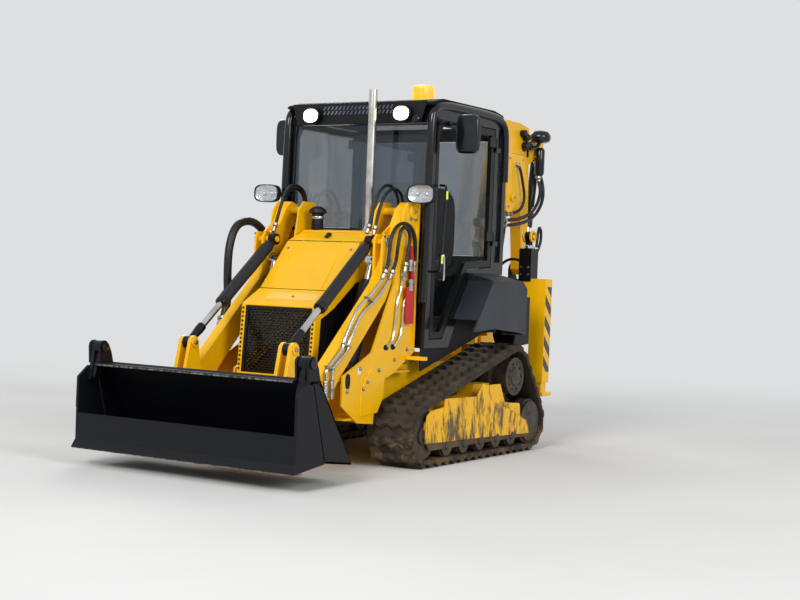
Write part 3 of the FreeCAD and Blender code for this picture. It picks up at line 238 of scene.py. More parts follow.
track_rubber = mottled("track_rubber", "#231E19", "#3A3126", 9.0, Specular_IOR_Level=0.3,
                       mud=dict(top=1.1, strength=0.28, rough=0.75, grit=0.6))
dark_steel = mottled("dark_steel", "#2B2622", "#4C4034", 14.0, Metallic=0.2,
                     mud=dict(top=0.9, strength=0.35, rough=0.55, grit=0.5))
moulded_abs = mottled("moulded_abs", "#0C0D10", "#14161A", 5.0, Roughness=0.48, Specular_IOR_Level=0.25,
                      mud=dict(top=0.9, strength=0.0, rough=0.48, dust=0.02))
fender_abs = mottled("fender_abs", "#1B2027", "#262D36", 3.0, Roughness=0.42, Specular_IOR_Level=0.35,
                     mud=dict(top=1.05, strength=0.08, rough=0.42, dust=0.05))
moulded_gloss = mottled("moulded_gloss_abs", "#0B0D12", "#14171D", 6.0, Roughness=0.22, Coat_Weight=0.2,
                        Coat_Roughness=0.1, Specular_IOR_Level=0.35)
hose_rubber = mottled("hose_rubber", "#0B0B0D", "#151518", 60.0, Roughness=0.42, Specular_IOR_Level=0.35)
hard_chrome = mottled("hard_chrome", "#B9BABD", "#DADBDD", 12.0, Metallic=1.0, Roughness=0.12)
stainless = mottled("stainless_tube", "#A8A5A0", "#D2CFC8", 6.0, dull=(0.1, 0.32), Metallic=1.0)
zinc_plate = mottled("zinc_plate", "#8C8B86", "#B5B3AC", 30.0, Metallic=1.0, Roughness=0.35)
reflector = mottled("aluminised_reflector", "#C9CBCE", "#E6E8EA", 40.0, Metallic=1.0, Roughness=0.18)
# This bright steel is real wear on the cutting edge, and a painted highlight on the strip along the shovel's lip.
worn_steel_and_highlight = mottled("scoured_steel_and_painted_highlight", "#3B3A38", "#8D8A84", 45.0, contrast=(0.4, 0.6), Metallic=0.85, Roughness=0.38)
cab_glass = mottled("tempered_glass", "#33424F", "#4A5B66", 1.5, Roughness=0.02, IOR=1.5, Transmission_Weight=1.0,
                    Alpha=0.62)
door_glass = mottled("door_pane_glass", "#1C2222", "#262D2C", 1.5, Roughness=0.0, IOR=1.45, Transmission_Weight=0.0,
                     Alpha=0.10)
clear_lens = mottled("clear_polycarbonate", "#F2F5F7", "#FFFFFF", 8.0, Roughness=0.03, Transmission_Weight=1.0,
                     Alpha=0.35)
amber_lens = mottled("amber_lens", "#FF8A12", "#FFB648", 25.0, Roughness=0.15, Transmission_Weight=0.4,
                     Emission_Color=linear("#FF9A1C"), Emission_Strength=1.2)
lamp_lit = mottled("lit_lens", "#FFF2D8", "#FFFFFF", 30.0, Roughness=0.1, Emission_Color=linear("#FFF0CF"),
                   Emission_Strength=5.0)
# The green door reflectors have a painted glow: they emit a little light, though a reflector is no lamp.
reflex_green_painted_glow = mottled("reflex_green_painted_glow", "#A6C41A", "#D2EA3A", 60.0, Roughness=0.25, Emission_Color=linear("#B8D820"),
                       Emission_Strength=0.35)
# The visor slots' blue-grey is a painted reflection of the sky on black plastic.
painted_sky_sheen = mottled("visor_slot_painted_sky_sheen", "#3C4654", "#566272", 6.0, Roughness=0.3)

seat_cloth, tree, shader = new_material("seat_cloth", Roughness=0.9, Sheen_Weight=0.1)
place = add(tree, "ShaderNodeTexCoord").outputs["Object"]
weave = add(tree, "ShaderNodeTexVoronoi", {"Vector": place, "Scale": 1 / 0.004}).outputs["Distance"]
cloth = mix(tree, weave, linear("#1B1C1F"), linear("#2E3034"))
tree.links.new(cloth, shader.inputs["Base Color"])
bump = add(tree, "ShaderNodeBump", {"Height": weave, "Strength": 0.3, "Distance": 0.001})
tree.links.new(bump.outputs["Normal"], shader.inputs["Normal"])

# %% [markdown]
# ## Finishes for the CAD pieces
# Each CAD node keeps its shape where it is right. Flat plates look sharper than real ones, because a real plate has
# a small rolled or ground edge that catches the light. So a copy of each plate work is merged into clean faces and
# gets a narrow bevel, a few millimetres wide, and stands in for its node.

# %% Finish of every node
FINISH = {name: finish for finish, names in (
    (track_rubber, "track_left track_right"), (dark_steel, "track_wheels drive_sprockets engine_block"),
    (amber_low, "track_frame_left track_frame_right"), (amber_clean, "bonnet"),
    (amber_enamel, "chassis_frame loader_tower_left loader_tower_right rear_frame stabiliser_leg_left "
                   "stabiliser_leg_right loader_arms hoe_carriage hoe_boom hoe_dipper"),
    (black_enamel, "grille door_left door_right stabiliser_covers lift_barrels tilt_barrels boom_ram_barrel "
                   "dipper_ram_barrel bucket_ram_barrel"), (black_gloss, "cab_frame"), (black_roof, "cab_roof"),
    (hard_chrome, "lift_rods tilt_rods boom_ram_rod dipper_ram_rod bucket_ram_rod"), (stainless, "exhaust_stack"),
    (digging_enamel, "shovel_back shovel_clam hoe_bucket"), (fender_abs, "fender_left fender_right"),
    (cab_glass, "cab_glass"), (door_glass, "door_glass_left door_glass_right"), (seat_cloth, "operator_seat"),
    (moulded_abs, "mirror_left mirror_right air_precleaner controls lamps headlamps")) for name in names.split()}
for name, obj in nodes.items():
    obj.data.materials.clear()
    obj.data.materials.append(FINISH[name])

BODY_OF = {name: body for body, members in frame["record"]["behaviour"]["bodies"].items() for name in members}

# %% Bevelled copies
SMOOTH_BELOW = math.radians(32)
WELD = 0.00002


def show(name, mesh, material, body):
    """Puts a finished mesh in the scene under its name, with its finish, and on its body where it has one."""
    obj = bpy.data.objects.new(name, mesh)
    bpy.context.scene.collection.objects.link(obj)
    mesh.materials.clear()
    mesh.materials.append(material)
    if body is not None:
        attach(obj, body)
    return obj


def shaded(work, mesh):
    """Writes a bmesh into a mesh, shaded smooth apart from the edges that turn by more than SMOOTH_BELOW."""
    work.to_mesh(mesh)
    work.free()
    mesh.polygons.foreach_set("use_smooth", [True] * len(mesh.polygons))
    mesh.set_sharp_from_angle(angle=SMOOTH_BELOW)


def bevelled(obj, width, least):
    """Rounds every edge that turns by more than least, in degrees, to this width in metres."""
    edge = obj.modifiers.new("edge", "BEVEL")
    edge.width = width
    edge.segments = 2
    edge.limit_method = "ANGLE"
    edge.angle_limit = math.radians(least)
    edge.harden_normals = True


def edged(node, width):
    """A copy of a node, merged into whole faces, with its sharp edges rounded, in the node's place."""
    mesh = nodes[node].data.copy()
    work = bmesh.new()
    work.from_mesh(mesh)
    bmesh.ops.remove_doubles(work, verts=work.verts, dist=WELD)
    bmesh.ops.dissolve_limit(work, angle_limit=math.radians(0.6), verts=work.verts, edges=work.edges)
    shaded(work, mesh)
    obj = show(node + "_edged", mesh, FINISH[node], BODY_OF[node])
    bevelled(obj, width, 35)
    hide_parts(node)


PLATEWORK = {"chassis_frame": 0.003, "loader_tower_left": 0.003, "loader_tower_right": 0.003, "bonnet": 0.006,
    "loader_arms": 0.004, "rear_frame": 0.003, "track_frame_left": 0.003, "track_frame_right": 0.003,
    "cab_frame": 0.008, "cab_roof": 0.010, "door_left": 0.004, "door_right": 0.004, "fender_left": 0.008,
    "fender_right": 0.008, "shovel_clam": 0.003, "hoe_carriage": 0.003, "hoe_boom": 0.004, "hoe_dipper": 0.003,
    "hoe_bucket": 0.003, "stabiliser_covers": 0.004, "stabiliser_leg_left": 0.003, "stabiliser_leg_right": 0.003,
    "controls": 0.006}
for node, width in PLATEWORK.items():
    edged(node, width)
print("bevelled", len(PLATEWORK))

# %% [markdown]
# ## Shape helpers
# Every added piece is a surface worked out from a few sizes. A pipe or hose is a circle carried along a smooth line, a
# fitting is a profile turned round an axis, a plate is an outline with a thickness, and a lamp shell is a rounded
# outline that shrinks as it rises. Sizes are in mm, as on a drawing, and are turned to metres once.

# %% Lines, tubes, turned parts and plates
MM = 0.001


def through(points, steps=8):
    """The smooth line of a NURBS spline whose control points are these; gives its places in metres."""
    places = np.array(points, float) * MM
    if len(places) < 3:
        return places
    curve = bpy.data.curves.new("route", "CURVE")
    curve.dimensions = "3D"
    spline = curve.splines.new("NURBS")
    spline.points.add(len(places) - 1)
    spline.points.foreach_set("co", np.column_stack([places, np.ones(len(places))]).ravel())
    spline.order_u = 3
    spline.use_endpoint_u = True
    spline.resolution_u = steps
    holder = bpy.data.objects.new("route", curve)
    mesh = bpy.data.meshes.new_from_object(holder)
    line = np.empty(3 * len(mesh.vertices))
    mesh.vertices.foreach_get("co", line)
    bpy.data.meshes.remove(mesh)
    bpy.data.objects.remove(holder)
    bpy.data.curves.remove(curve)
    return line.reshape(-1, 3)


def strips(rows, sides, closed_ends=True):
    """Faces between neighbouring rings of a grid of rings, with a face over each end where it is closed."""
    ring, side = np.meshgrid(np.arange(rows - 1), np.arange(sides), indexing="ij")
    here = ring * sides + side
    right = ring * sides + (side + 1) % sides
    faces = np.stack([here, right, right + sides, here + sides], axis=-1).reshape(-1, 4).tolist()
    if closed_ends:
        faces += [list(range(sides))[::-1], list(range((rows - 1) * sides, rows * sides))]
    return faces


def tube(points, radius, sides=12, steps=8):
    """A round bar along a smooth line: each ring is centre + r (cos a u + sin a v), with u and v square to the line."""
    line = through(points, steps)
    ahead = np.gradient(line, axis=0)
    ahead /= np.linalg.norm(ahead, axis=1, keepdims=True)
    flat = np.linalg.svd(line - line.mean(axis=0), full_matrices=True)[2][-1]
    across = flat - (ahead @ flat)[:, None] * ahead
    across /= np.linalg.norm(across, axis=1, keepdims=True)
    other = np.cross(ahead, across)
    angle = np.linspace(0, 2 * math.pi, sides, endpoint=False)[None, :, None]
    rings = line[:, None] + radius * MM * (np.cos(angle) * across[:, None] + np.sin(angle) * other[:, None])
    return rings.reshape(-1, 3), strips(len(line), sides)


def square_to(axis):
    """Three unit vectors: two square to the axis and each other, and the axis itself."""
    axis = np.array(axis, float) / np.linalg.norm(axis)
    first = np.cross(axis, (0, 0, 1) if abs(axis[2]) < 0.9 else (0, 1, 0))
    first /= np.linalg.norm(first)
    return first, np.cross(axis, first), axis


def turned(profile, centre, axis=(0, 0, 1), sides=28):
    """A profile of (radius, distance along the axis) pairs, turned round the axis that starts at centre."""
    first, second, along = square_to(axis)
    radius, distance = np.array(profile, float).T * MM
    angle = np.linspace(0, 2 * math.pi, sides, endpoint=False)[None, :, None]
    rings = (np.cos(angle) * first + np.sin(angle) * second) * radius[:, None, None] + along * distance[:, None, None]
    return (rings + np.array(centre) * MM).reshape(-1, 3), strips(len(profile), sides)


def ferrule(start, end, radius, sides=16):
    """A crimped hose end: a sleeve with a nut, between two places."""
    reach = float(np.linalg.norm(np.subtract(end, start)))
    return turned([(0, 0), (radius * 0.8, 0), (radius, 2), (radius, reach * 0.55), (radius * 0.75, reach * 0.6),
                   (radius * 0.75, reach * 0.68), (radius * 1.2, reach * 0.7), (radius * 1.2, reach), (0, reach)],
                  start, np.subtract(end, start), sides)


def plate(outline, low, high, normal="x"):
    """A flat plate: an outline on the plane square to the normal (y z, x z or x y), from low to high along it."""
    flat = np.array(outline, float)
    spot = {"x": 0, "y": 1, "z": 2}[normal]
    levels = [np.insert(flat, spot, level, axis=1) for level in (low, high)]
    return np.concatenate(levels) * MM, strips(2, len(flat))


def oval(angle, half, power):
    """The outline |u/a|^p + |v/b|^p = 1 at these angles: a circle at power 2 and nearly a rectangle at 8."""
    return [np.sign(wave) * np.abs(wave) ** (2 / power) * reach
            for wave, reach in ((np.cos(angle), half[0]), (np.sin(angle), half[1]))]


def bulge(profile, centre, half, power=4.0, axis="y", sides=40):
    """A rounded outline that is scaled as it rises: profile has (scale, distance along the axis) pairs, and half the
    two half widths."""
    round_u, round_v = oval(np.linspace(0, 2 * math.pi, sides, endpoint=False), half, power)
    scale, distance = np.array(profile, float).T
    spot = {"x": 0, "y": 1, "z": 2}[axis]
    rings = np.stack([scale[:, None] * round_u, scale[:, None] * round_v], axis=-1)
    rings = np.insert(rings, spot, np.repeat(distance[:, None], sides, axis=1), axis=2)
    return (rings + np.array(centre, float)).reshape(-1, 3) * MM, strips(len(profile), sides)


def turned_at(profile, places, axis=(1, 0, 0), sides=28):
    """The same turned profile at each of these places."""
    return [turned(profile, place, axis, sides) for place in places]


def at_x(x, places):
    """These places, given as y and z, at one x."""
    return [(x, y, z) for y, z in places]


def mirrored(points):
    """A line's points on the machine's other side."""
    return [(-x, y, z) for x, y, z in points]


def flip(piece):
    """The same surface on the machine's other side."""
    points, faces = piece
    return points * (-1, 1, 1), faces


def build(name, parts, material, body, bevel=0.0, both=False):
    """Joins surfaces into one piece, points its faces outwards and rides it on a body; both adds the other side."""
    parts = parts + [flip(part) for part in parts] if both else parts
    starts = np.cumsum([0] + [len(points) for points, _ in parts])
    faces = [[corner + int(start) for corner in face] for (_, shape), start in zip(parts, starts) for face in shape]
    mesh = bpy.data.meshes.new(name)
    mesh.from_pydata(np.concatenate([points for points, _ in parts]).tolist(), [], faces)
    work = bmesh.new()
    work.from_mesh(mesh)
    bmesh.ops.dissolve_degenerate(work, dist=WELD, edges=work.edges)
    bmesh.ops.recalc_face_normals(work, faces=work.faces)
    shaded(work, mesh)
    obj = show(name, mesh, material, body)
    if bevel:
        bevelled(obj, bevel * MM, 40)
    return obj


# %% [markdown]
# ## Pipes on the loader
# Bright plated steel pipes carry oil down the outside of the left arm to the shovel's jaw, where they turn into hoses
# inside wire guards. Two more run down the tower's side. A thin black rail stands outside each door. Each pipe is a
# round bar bent along a few points.

# %% Pipes and rails
ARM_FACE, TOWER_FACE = 497, 511
DOOR_RAIL = [(556, -330, 1722), (600, -332, 1722), (603, -330, 1700), (603, -350, 1440), (603, -372, 1200),
             (600, -376, 1185), (556, -376, 1182)]
PIPES = [  # name, body, finish, slot, radius, on both sides, points
    ("arm_pipe_upper", "loader_arms", hard_chrome, "bright_steel", 9, False, at_x(ARM_FACE, [
        (-865, 1122), (-955, 1050), (-985, 1030), (-1110, 958), (-1134, 936), (-1230, 792), (-1244, 762),
        (-1247, 742), (-1262, 716), (-1398, 614), (-1420, 590), (-1412, 540)])),
    ("arm_pipe_lower", "loader_arms", hard_chrome, "bright_steel", 9, False, at_x(ARM_FACE + 4, [
        (-792, 1123), (-894, 1032), (-926, 1008), (-1062, 932), (-1090, 908), (-1188, 778), (-1201, 748),
        (-1204, 728), (-1220, 702), (-1336, 624), (-1358, 602), (-1355, 540)])),
    ("tower_pipe_front", "machine", hard_chrome, "bright_steel", 9, False, at_x(TOWER_FACE, [
        (-665, 1186), (-658, 1082), (-713, 1003), (-725, 822), (-755, 745)]) + [(TOWER_FACE - 6, -801, 720)]),
    ("tower_pipe_rear", "machine", hard_chrome, "bright_steel", 9, False, at_x(TOWER_FACE, [
        (-542, 1188), (-535, 1096), (-640, 1004), (-640, 821), (-695, 744)]) + [(TOWER_FACE - 6, -720, 722)]),
    ("door_rail", "door_left", black_gloss, "black_paint", 8, False, DOOR_RAIL),
    ("door_rail_right", "door_right", black_gloss, "black_paint", 8, False, mirrored(DOOR_RAIL)),
    ("roof_tube", "machine", black_gloss, "black_paint", 27, True, [
        (547, -476, 990), (547, -462, 1400), (547, -447, 2060), (548, -430, 2190), (552, -330, 2222), (556, -100, 2226),
        (558, 200, 2224), (558, 380, 2218), (556, 480, 2180), (554, 512, 2080), (552, 516, 1800)]),
    ("door_pull", "door_left", hard_chrome, "bright_steel", 7, False, [
        (545, -300, 1290), (580, -300, 1290), (584, -296, 1280), (584, -290, 1140), (580, -290, 1130),
        (545, -290, 1130)]),
]
for name, body, finish, slot, radius, both, points in PIPES:
    build(name, [tube(points, radius)], finish, body, both=both)

GUARD_TURN = 9.0
guards = []
for x, top, foot in ((ARM_FACE, (-1412, 548), (-1404, 440)), (ARM_FACE + 4, (-1355, 547), (-1352, 440))):
    turns = np.linspace(0, 1, 90)
    spin = turns * (top[1] - foot[1]) / GUARD_TURN * 2 * math.pi
    coil = np.column_stack([x + 13 * np.cos(spin), top[0] + (foot[0] - top[0]) * turns + 13 * np.sin(spin),
                            top[1] + (foot[1] - top[1]) * turns])
    guards += [tube(coil, 2.6, sides=6, steps=2), tube([(x, *top), (x, *foot)], 10)]
build("hose_spring_guards", guards, zinc_plate, "loader_arms")

clips = [plate([(y - 34, z + 12), (y + 40, z - 12), (y + 40, z - 24), (y - 34, z)], ARM_FACE - 14, ARM_FACE + 15)
         for y, z in ((-1000, 1012), (-1222, 745), (-1380, 620))]
build("pipe_clips", clips, zinc_plate, "loader_arms", bevel=2)
print("pipes", len(PIPES))

# %% [markdown]
# ## Hoses
# A hydraulic hose is steel-braided rubber, about 22 mm across and stiff, so between its two crimped ends it stands in
# one even arch. The ones at the lift pivot join the machine to the arms; each is a tube that rides on no body, with
# its end fittings on the machine and on the arms.

# %% Hoses
def hose(name, points, across, sides, body, far_body=""):
    """A hose along points. It rides on body, or on no body where it has a far_body."""
    line = through(points, 10)
    piece = build(name, [tube(points, across / 2, sides=sides, steps=10)], hose_rubber, None if far_body else body)
    if far_body:
        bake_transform(piece)


def fittings(points, behind, along, radius):
    """The ferrules at a hose's first and last point, from so far behind the end to so far along the hose."""
    ends = []
    for near, following in ((points[0], points[1]), (points[-1], points[-2])):
        away = np.subtract(following, near) / np.linalg.norm(np.subtract(following, near))
        ends.append(ferrule(np.array(near) - away * behind, np.array(near) + away * along, radius))
    return ends


LIFT_A = at_x(352, [(-484, 1480), (-478, 1590), (-520, 1680), (-620, 1712), (-720, 1660), (-776, 1520), (-826, 1408)])
LIFT_B = at_x(376, [(-484, 1480), (-470, 1600), (-500, 1668), (-590, 1690), (-690, 1640), (-748, 1520), (-790, 1400)])
HOSES = [  # name, diameter, points from the machine to the arm
    ("jaw_hose_rear", 22, [(514, -535, 1189), (514, -517, 1307), (514, -550, 1428), (514, -640, 1474),
                           (514, -745, 1458), (514, -812, 1380), (514, -822, 1290), (512, -836, 1190),
                           (500, -862, 1140)]),
    ("jaw_hose_front", 22, [(530, -664, 1186), (530, -640, 1290), (530, -612, 1390), (530, -660, 1446),
                            (530, -728, 1436), (528, -752, 1330), (520, -752, 1220), (504, -790, 1140)]),
    ("lift_hose_left_a", 20, LIFT_A), ("lift_hose_left_b", 20, LIFT_B),
    ("lift_hose_right_a", 20, mirrored(LIFT_A)), ("lift_hose_right_b", 20, mirrored(LIFT_B)),
    ("sleeved_hose_bundle", 52, [(-520, -640, 1240), (-528, -664, 1372), (-532, -760, 1446), (-532, -870, 1464),
                                 (-532, -985, 1424), (-532, -1042, 1290), (-532, -1046, 1100), (-528, -1032, 940),
                                 (-518, -1100, 806)]),
]
fixed_ends, arm_ends = [], []
for name, across, points in HOSES:
    hose(name, points, across, 14, "machine", "loader_arms")
    for holder, end in zip((fixed_ends, arm_ends), fittings(points, 12, 46, across * 0.62)):
        holder.append(end)
build("hose_ends_tower", fixed_ends, zinc_plate, "machine")
build("hose_ends_arms", arm_ends, zinc_plate, "loader_arms")

# %% [markdown]
# ## The red guard
# A red plate and a red tube above it stand in front of the hoses on the left tower, among zinc unions.

# %% Red guard and its unions
build("red_guard", [plate([(-640, 1083), (-548, 1083), (-548, 859), (-632, 859), (-642, 900)], 522, 534),
                    tube([(528, -572, 1070), (528, -574, 1150), (526, -586, 1250), (522, -600, 1334)], 15)],
      red_enamel, "machine", bevel=3)
UNION = [(0, 0), (17, 0), (19, 3), (19, 30), (15, 32), (15, 44), (20, 46), (20, 70), (0, 70)]
unions = turned_at(UNION, [(528, -606, 1180), (528, -568, 1172), (516, -655, 1120), (516, -545, 1108),
                           (528, -592, 1060)], (0, 0, 1), sides=12)
build("guard_unions", unions, zinc_plate, "machine")

# %% [markdown]
# ## Tilt rams
# The tilt rams' barrels wear a black woven sleeve that keeps a burst hose's spray down, gathered by a band at its lower
# end, and the chrome rod ends in a short black eye. The sleeve is turned round the ram's own axis.

# %% Ram sleeves and rod ends
ram_sleeve, tree, shader = new_material("woven_ram_sleeve", Roughness=0.55, Sheen_Weight=0.05, Specular_IOR_Level=0.35)
place = add(tree, "ShaderNodeTexCoord").outputs["Object"]
THREAD = 1 / 0.006
weave = add(tree, "ShaderNodeTexWave", {"Vector": place, "Scale": THREAD / 6.28, "Distortion": 1.5, "Detail": 1.0},
            bands_direction="DIAGONAL")
folds = add(tree, "ShaderNodeTexNoise", {"Vector": place, "Scale": 18.0, "Detail": 2.0})
cloth = mix(tree, folds.outputs["Fac"], linear("#0B0D13"), linear("#171A22"))
tree.links.new(cloth, shader.inputs["Base Color"])
both_bumps = add(tree, "ShaderNodeMath", {0: weave.outputs["Fac"], 1: 0.25, 2: folds.outputs["Fac"]},
                 operation="MULTIPLY_ADD")
bump = add(tree, "ShaderNodeBump", {"Height": both_bumps.outputs[0], "Strength": 0.45, "Distance": 0.004})
tree.links.new(bump.outputs["Normal"], shader.inputs["Normal"])

TILT_BASE, TILT_EYE = (362, -804, 1350), (362, -1592, 718)
TILT_LINE = np.subtract(TILT_EYE, TILT_BASE) / np.linalg.norm(np.subtract(TILT_EYE, TILT_BASE))
build("tilt_sleeves", [turned([(0, 56), (28, 56), (33.6, 66), (35.5, 90), (36, 300), (35.2, 500), (36, 600), (35, 622),
    (33.6, 626), (0, 626)], TILT_BASE, TILT_LINE, sides=36), tube([np.array(TILT_BASE) + TILT_LINE * s + (19, -20, 24)
    for s in (90, 330, 612)], 3, sides=8)], ram_sleeve, "tilt_barrels", both=True)
build("tilt_gland_bands", [turned([(34, 606), (38, 608), (39, 622), (39, 640), (37, 650), (26, 652), (22, 650)],
    TILT_BASE, TILT_LINE, sides=36)], black_gloss, "tilt_barrels", both=True)
build("tilt_rod_ends", [turned([(20.4, 860), (27, 862), (28, 900), (24, 940), (24, 972), (20.4, 974)], TILT_BASE,
    TILT_LINE, sides=24), turned([(0, -22.8), (34, -22.8), (37, -20), (37, 20), (34, 22.8), (0, 22.8)], TILT_EYE,
    (1, 0, 0), sides=28)], black_enamel, "tilt_rods", both=True)

# %% [markdown]
# ## Grille
# The grille is a pressed steel plate full of small slots laid like bricks, each row shifted by half a slot. Every
# cell is a flat frame round its slot, so the plate is one grid of such cells with a real thickness.

# %% Grille and the punched strip beside it
SLOT_PITCH, ROW_PITCH = 30.5, 15.4
SLOT_HALF, SLOT_TALL = 11.5, 4.6
FIELD = 226
GRILLE = {"low": 541, "high": 939, "y_low": -1240.5, "y_high": -1210}
points, faces = [], []
for row in range(int((GRILLE["high"] - GRILLE["low"] - 16) / ROW_PITCH)):
    z = GRILLE["low"] + 12 + (row + 0.5) * ROW_PITCH
    shift = (row % 2) * SLOT_PITCH / 2
    edges = np.arange(1 - FIELD - SLOT_PITCH / 2 + shift, FIELD, SLOT_PITCH)
    for left, right in zip(edges[:-1], edges[1:]):
        left, right = max(left, -FIELD), min(right, FIELD)
        middle, half = (left + right) / 2, min(SLOT_HALF, (right - left) / 2 - 3.5)
        base = len(points)
        for low_x, high_x, reach in ((left, right, ROW_PITCH / 2), (middle - half, middle + half, SLOT_TALL)):
            points += [(low_x, z - reach), (high_x, z - reach), (high_x, z + reach), (low_x, z + reach)]
        faces += [[base + i, base + (i + 1) % 4, base + 4 + (i + 1) % 4, base + 4 + i] for i in range(4)]
flat = np.array(points)
lean = (GRILLE["y_high"] - GRILLE["y_low"]) / (GRILLE["high"] - GRILLE["low"])
mesh = bpy.data.meshes.new("grille_slots")
mesh.from_pydata((np.column_stack([flat[:, 0], GRILLE["y_low"] + (flat[:, 1] - GRILLE["low"]) * lean + 2, flat[:, 1]])
                  * MM).tolist(), [], faces)
slots_plate = show("grille_slots", mesh, black_gloss, "machine")
wall = slots_plate.modifiers.new("thickness", "SOLIDIFY")
wall.thickness = 0.004
wall.offset = -1
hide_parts("grille")


def on_grille(x, z, out=0.0):
    """A place on the grille's leaning face."""
    return x, GRILLE["y_low"] + (z - GRILLE["low"]) * lean - out, z


frame_bars = []
for x0, x1, z0, z1 in ((-244, 244, 541, 553), (-244, 244, 922, 939), (-244, -224, 541, 939), (224, 244, 541, 939)):
    corners = [on_grille(x, z, out) for out in (4, -9) for x, z in ((x0, z0), (x1, z0), (x1, z1), (x0, z1))]
    frame_bars.append((np.array(corners) * MM, strips(2, 4)))
build("grille_frame", frame_bars, black_enamel, "machine", bevel=2)
core = [on_grille(x, z, out) for out in (-24, -30) for x, z in ((-240, 545), (240, 545), (240, 935), (-240, 935))]
build("radiator_core", [(np.array(core) * MM, strips(2, 4))], moulded_abs, "machine")
punched = [turned([(0, -2), (7, -2), (7, 1.2), (0, 1.2)], on_grille(side * 259.5, z, 9.4), (0, -1, 0.08), sides=12)
           for side in (-1, 1) for z in np.arange(560, 930, 26)]
build("bonnet_punchings", punched, moulded_abs, "machine")
print("grille cells", len(faces) // 4)

# %% [markdown]
# ## Bonnet details
# The bonnet is one amber pressing with a crease, a gap near the windscreen where the cowl starts and a rubber latch.
# A pale amber strip over the grille is a painted highlight, and black panels on its lower sides are painted shade.
# The pre-cleaner stands on it with a clamp band, and a black filter box stands behind.

# %% Bonnet details
HOOD_TOP = [(-1216, 952), (-1180, 972), (-1044, 1046), (-776, 1345), (-620, 1412)]


def on_hood(y, out=0.0):
    """The bonnet's height at a place along it, plus out."""
    return float(np.interp(y, [p[0] for p in HOOD_TOP], [p[1] for p in HOOD_TOP])) + out


# Black panels on the bonnet's lower sides are painted shade: they darken the side that lies in shadow behind the tilt
# ram.
build("bonnet_side_painted_shade", [plate([(-1196, 520), (-1168, 880), (-1110, 905), (-1036, 944), (-816, 1096), (-600, 1150),
    (-492, 1150), (-492, 520)], 274.6, 278)], black_gloss, "machine", bevel=1.5, both=True)
build("bonnet_seams", [tube([(x, y, on_hood(y, 0.6)) for x in (-274, 0, 274)], 2.4, sides=6) for y in (-776, -1048)],
      moulded_abs, "machine")
build("bonnet_creases", [tube([(side * 150, -776, on_hood(-776)), (side * 165, -900, on_hood(-900)), (side * 178, -1040,
    on_hood(-1040) + 1)], 4.5, sides=10) for side in (-1, 1)], amber_clean, "machine")
# A thin pale plate on the bonnet's front slope, which paints the highlight where the light catches the curve.
slope = [(y, on_hood(y, 0.4)) for y in (-1158, -1088)]
build("bonnet_painted_highlight", [plate(slope + [(y, z + 0.9) for y, z in slope[::-1]], -150, 215)], amber_painted_highlight, "machine")
latch = [(-742, 1366), (-700, 1384), (-694, 1398), (-716, 1402), (-752, 1372)]
build("bonnet_latch", [plate(latch, -16, 4)], moulded_abs, "machine", bevel=2)
build("bonnet_bolts", [turned([(0, 0), (9, 0), (9, 5), (7, 7), (0, 7)], (x, y, on_hood(y)), (0, -0.5, 0.86), sides=6)
                       for x, y in ((40, -1128), (-235, -820), (235, -820))], zinc_plate, "machine")
build("cowl_strip", [plate([(-640, 1404), (-640, 1416), (-560, 1424), (-486, 1424), (-486, 1404)], -262, 262)],
      amber_clean, "machine", bevel=5)
CLEANER = (-200, -567, 1412)
build("precleaner_band", [turned([(37.2, 78), (40, 78), (41, 80), (41, 92), (40, 94), (37.2, 94)], CLEANER),
                          turned([(0, 0), (5, 0), (5, 22), (0, 22)], (-200, -608, 1498), (1, 0, 0), sides=10)],
      hard_chrome, "machine")
build("precleaner_ribs", [turned([(37.2, z), (39.5, z + 2), (39.5, z + 5), (37.2, z + 7)], CLEANER)
                          for z in (10, 24, 38)], moulded_abs, "machine")
build("filter_box", [bulge([(0, 0), (0.9, 0), (1, 8), (1, 120), (0.92, 136), (0.7, 142), (0, 142)],
                           (-330, -476, 1440), (34, 26), power=5, axis="z")], moulded_abs, "machine")
build("exhaust_collar", [turned([(27.3, 0), (38, 0), (40, 3), (40, 16), (33, 20), (30, 40), (27.3, 42)],
    (184, -560, 1413))], stainless, "machine")

# %% [markdown]
# ## Lamps and mirrors
# Two oval lit lamps are set in the visor's front. The road lamps are rounded shells with a silver bowl behind a clear
# lens. The beacon is an amber cap on a black foot. The mirrors are black shells with a raised middle, one on each door.

# %% Visor and work lamps
build("visor_panel", [plate([(-470, 2104), (-512, 2240), (512, 2240), (470, 2104)], -451.5, -446, normal="y")],
      black_enamel, "machine", bevel=2)
# The visor's slots are thin plates in a blue-grey that paints the sky's reflection on them.
visor_slot_sky_sheens = [plate([(x, z), (x + 13, z), (x + 27, z + 23), (x + 14, z + 23)], -453.4, -450, normal="y")
               for x in range(-270, 256, 30) for z in (2196, 2166)]
build("visor_slot_sky_sheens", visor_slot_sky_sheens, painted_sky_sheen, "machine")
LAMP, LAMP_HALF = (345, -446, 2160), (66, 50)
build("work_lamp_shells", [bulge([(0, 0), (0.7, 0), (0.9, -10), (1, -26), (1, -38), (0.95, -42), (0.88, -42),
    (0.82, -36)], LAMP, LAMP_HALF, power=2.3)], moulded_abs, "machine", both=True)
build("work_lamp_lenses", [bulge([(0, -47), (0.55, -45), (0.87, -39), (0.88, -35), (0, -35)], LAMP, LAMP_HALF,
    power=2.3)], lamp_lit, "machine", both=True)
build("visor_fitting", [turned([(0, 0), (24, 0), (26, 4), (26, 14), (20, 22), (0, 24)], (440, -451, 2125), (0, -1, 0))],
    black_gloss, "machine")

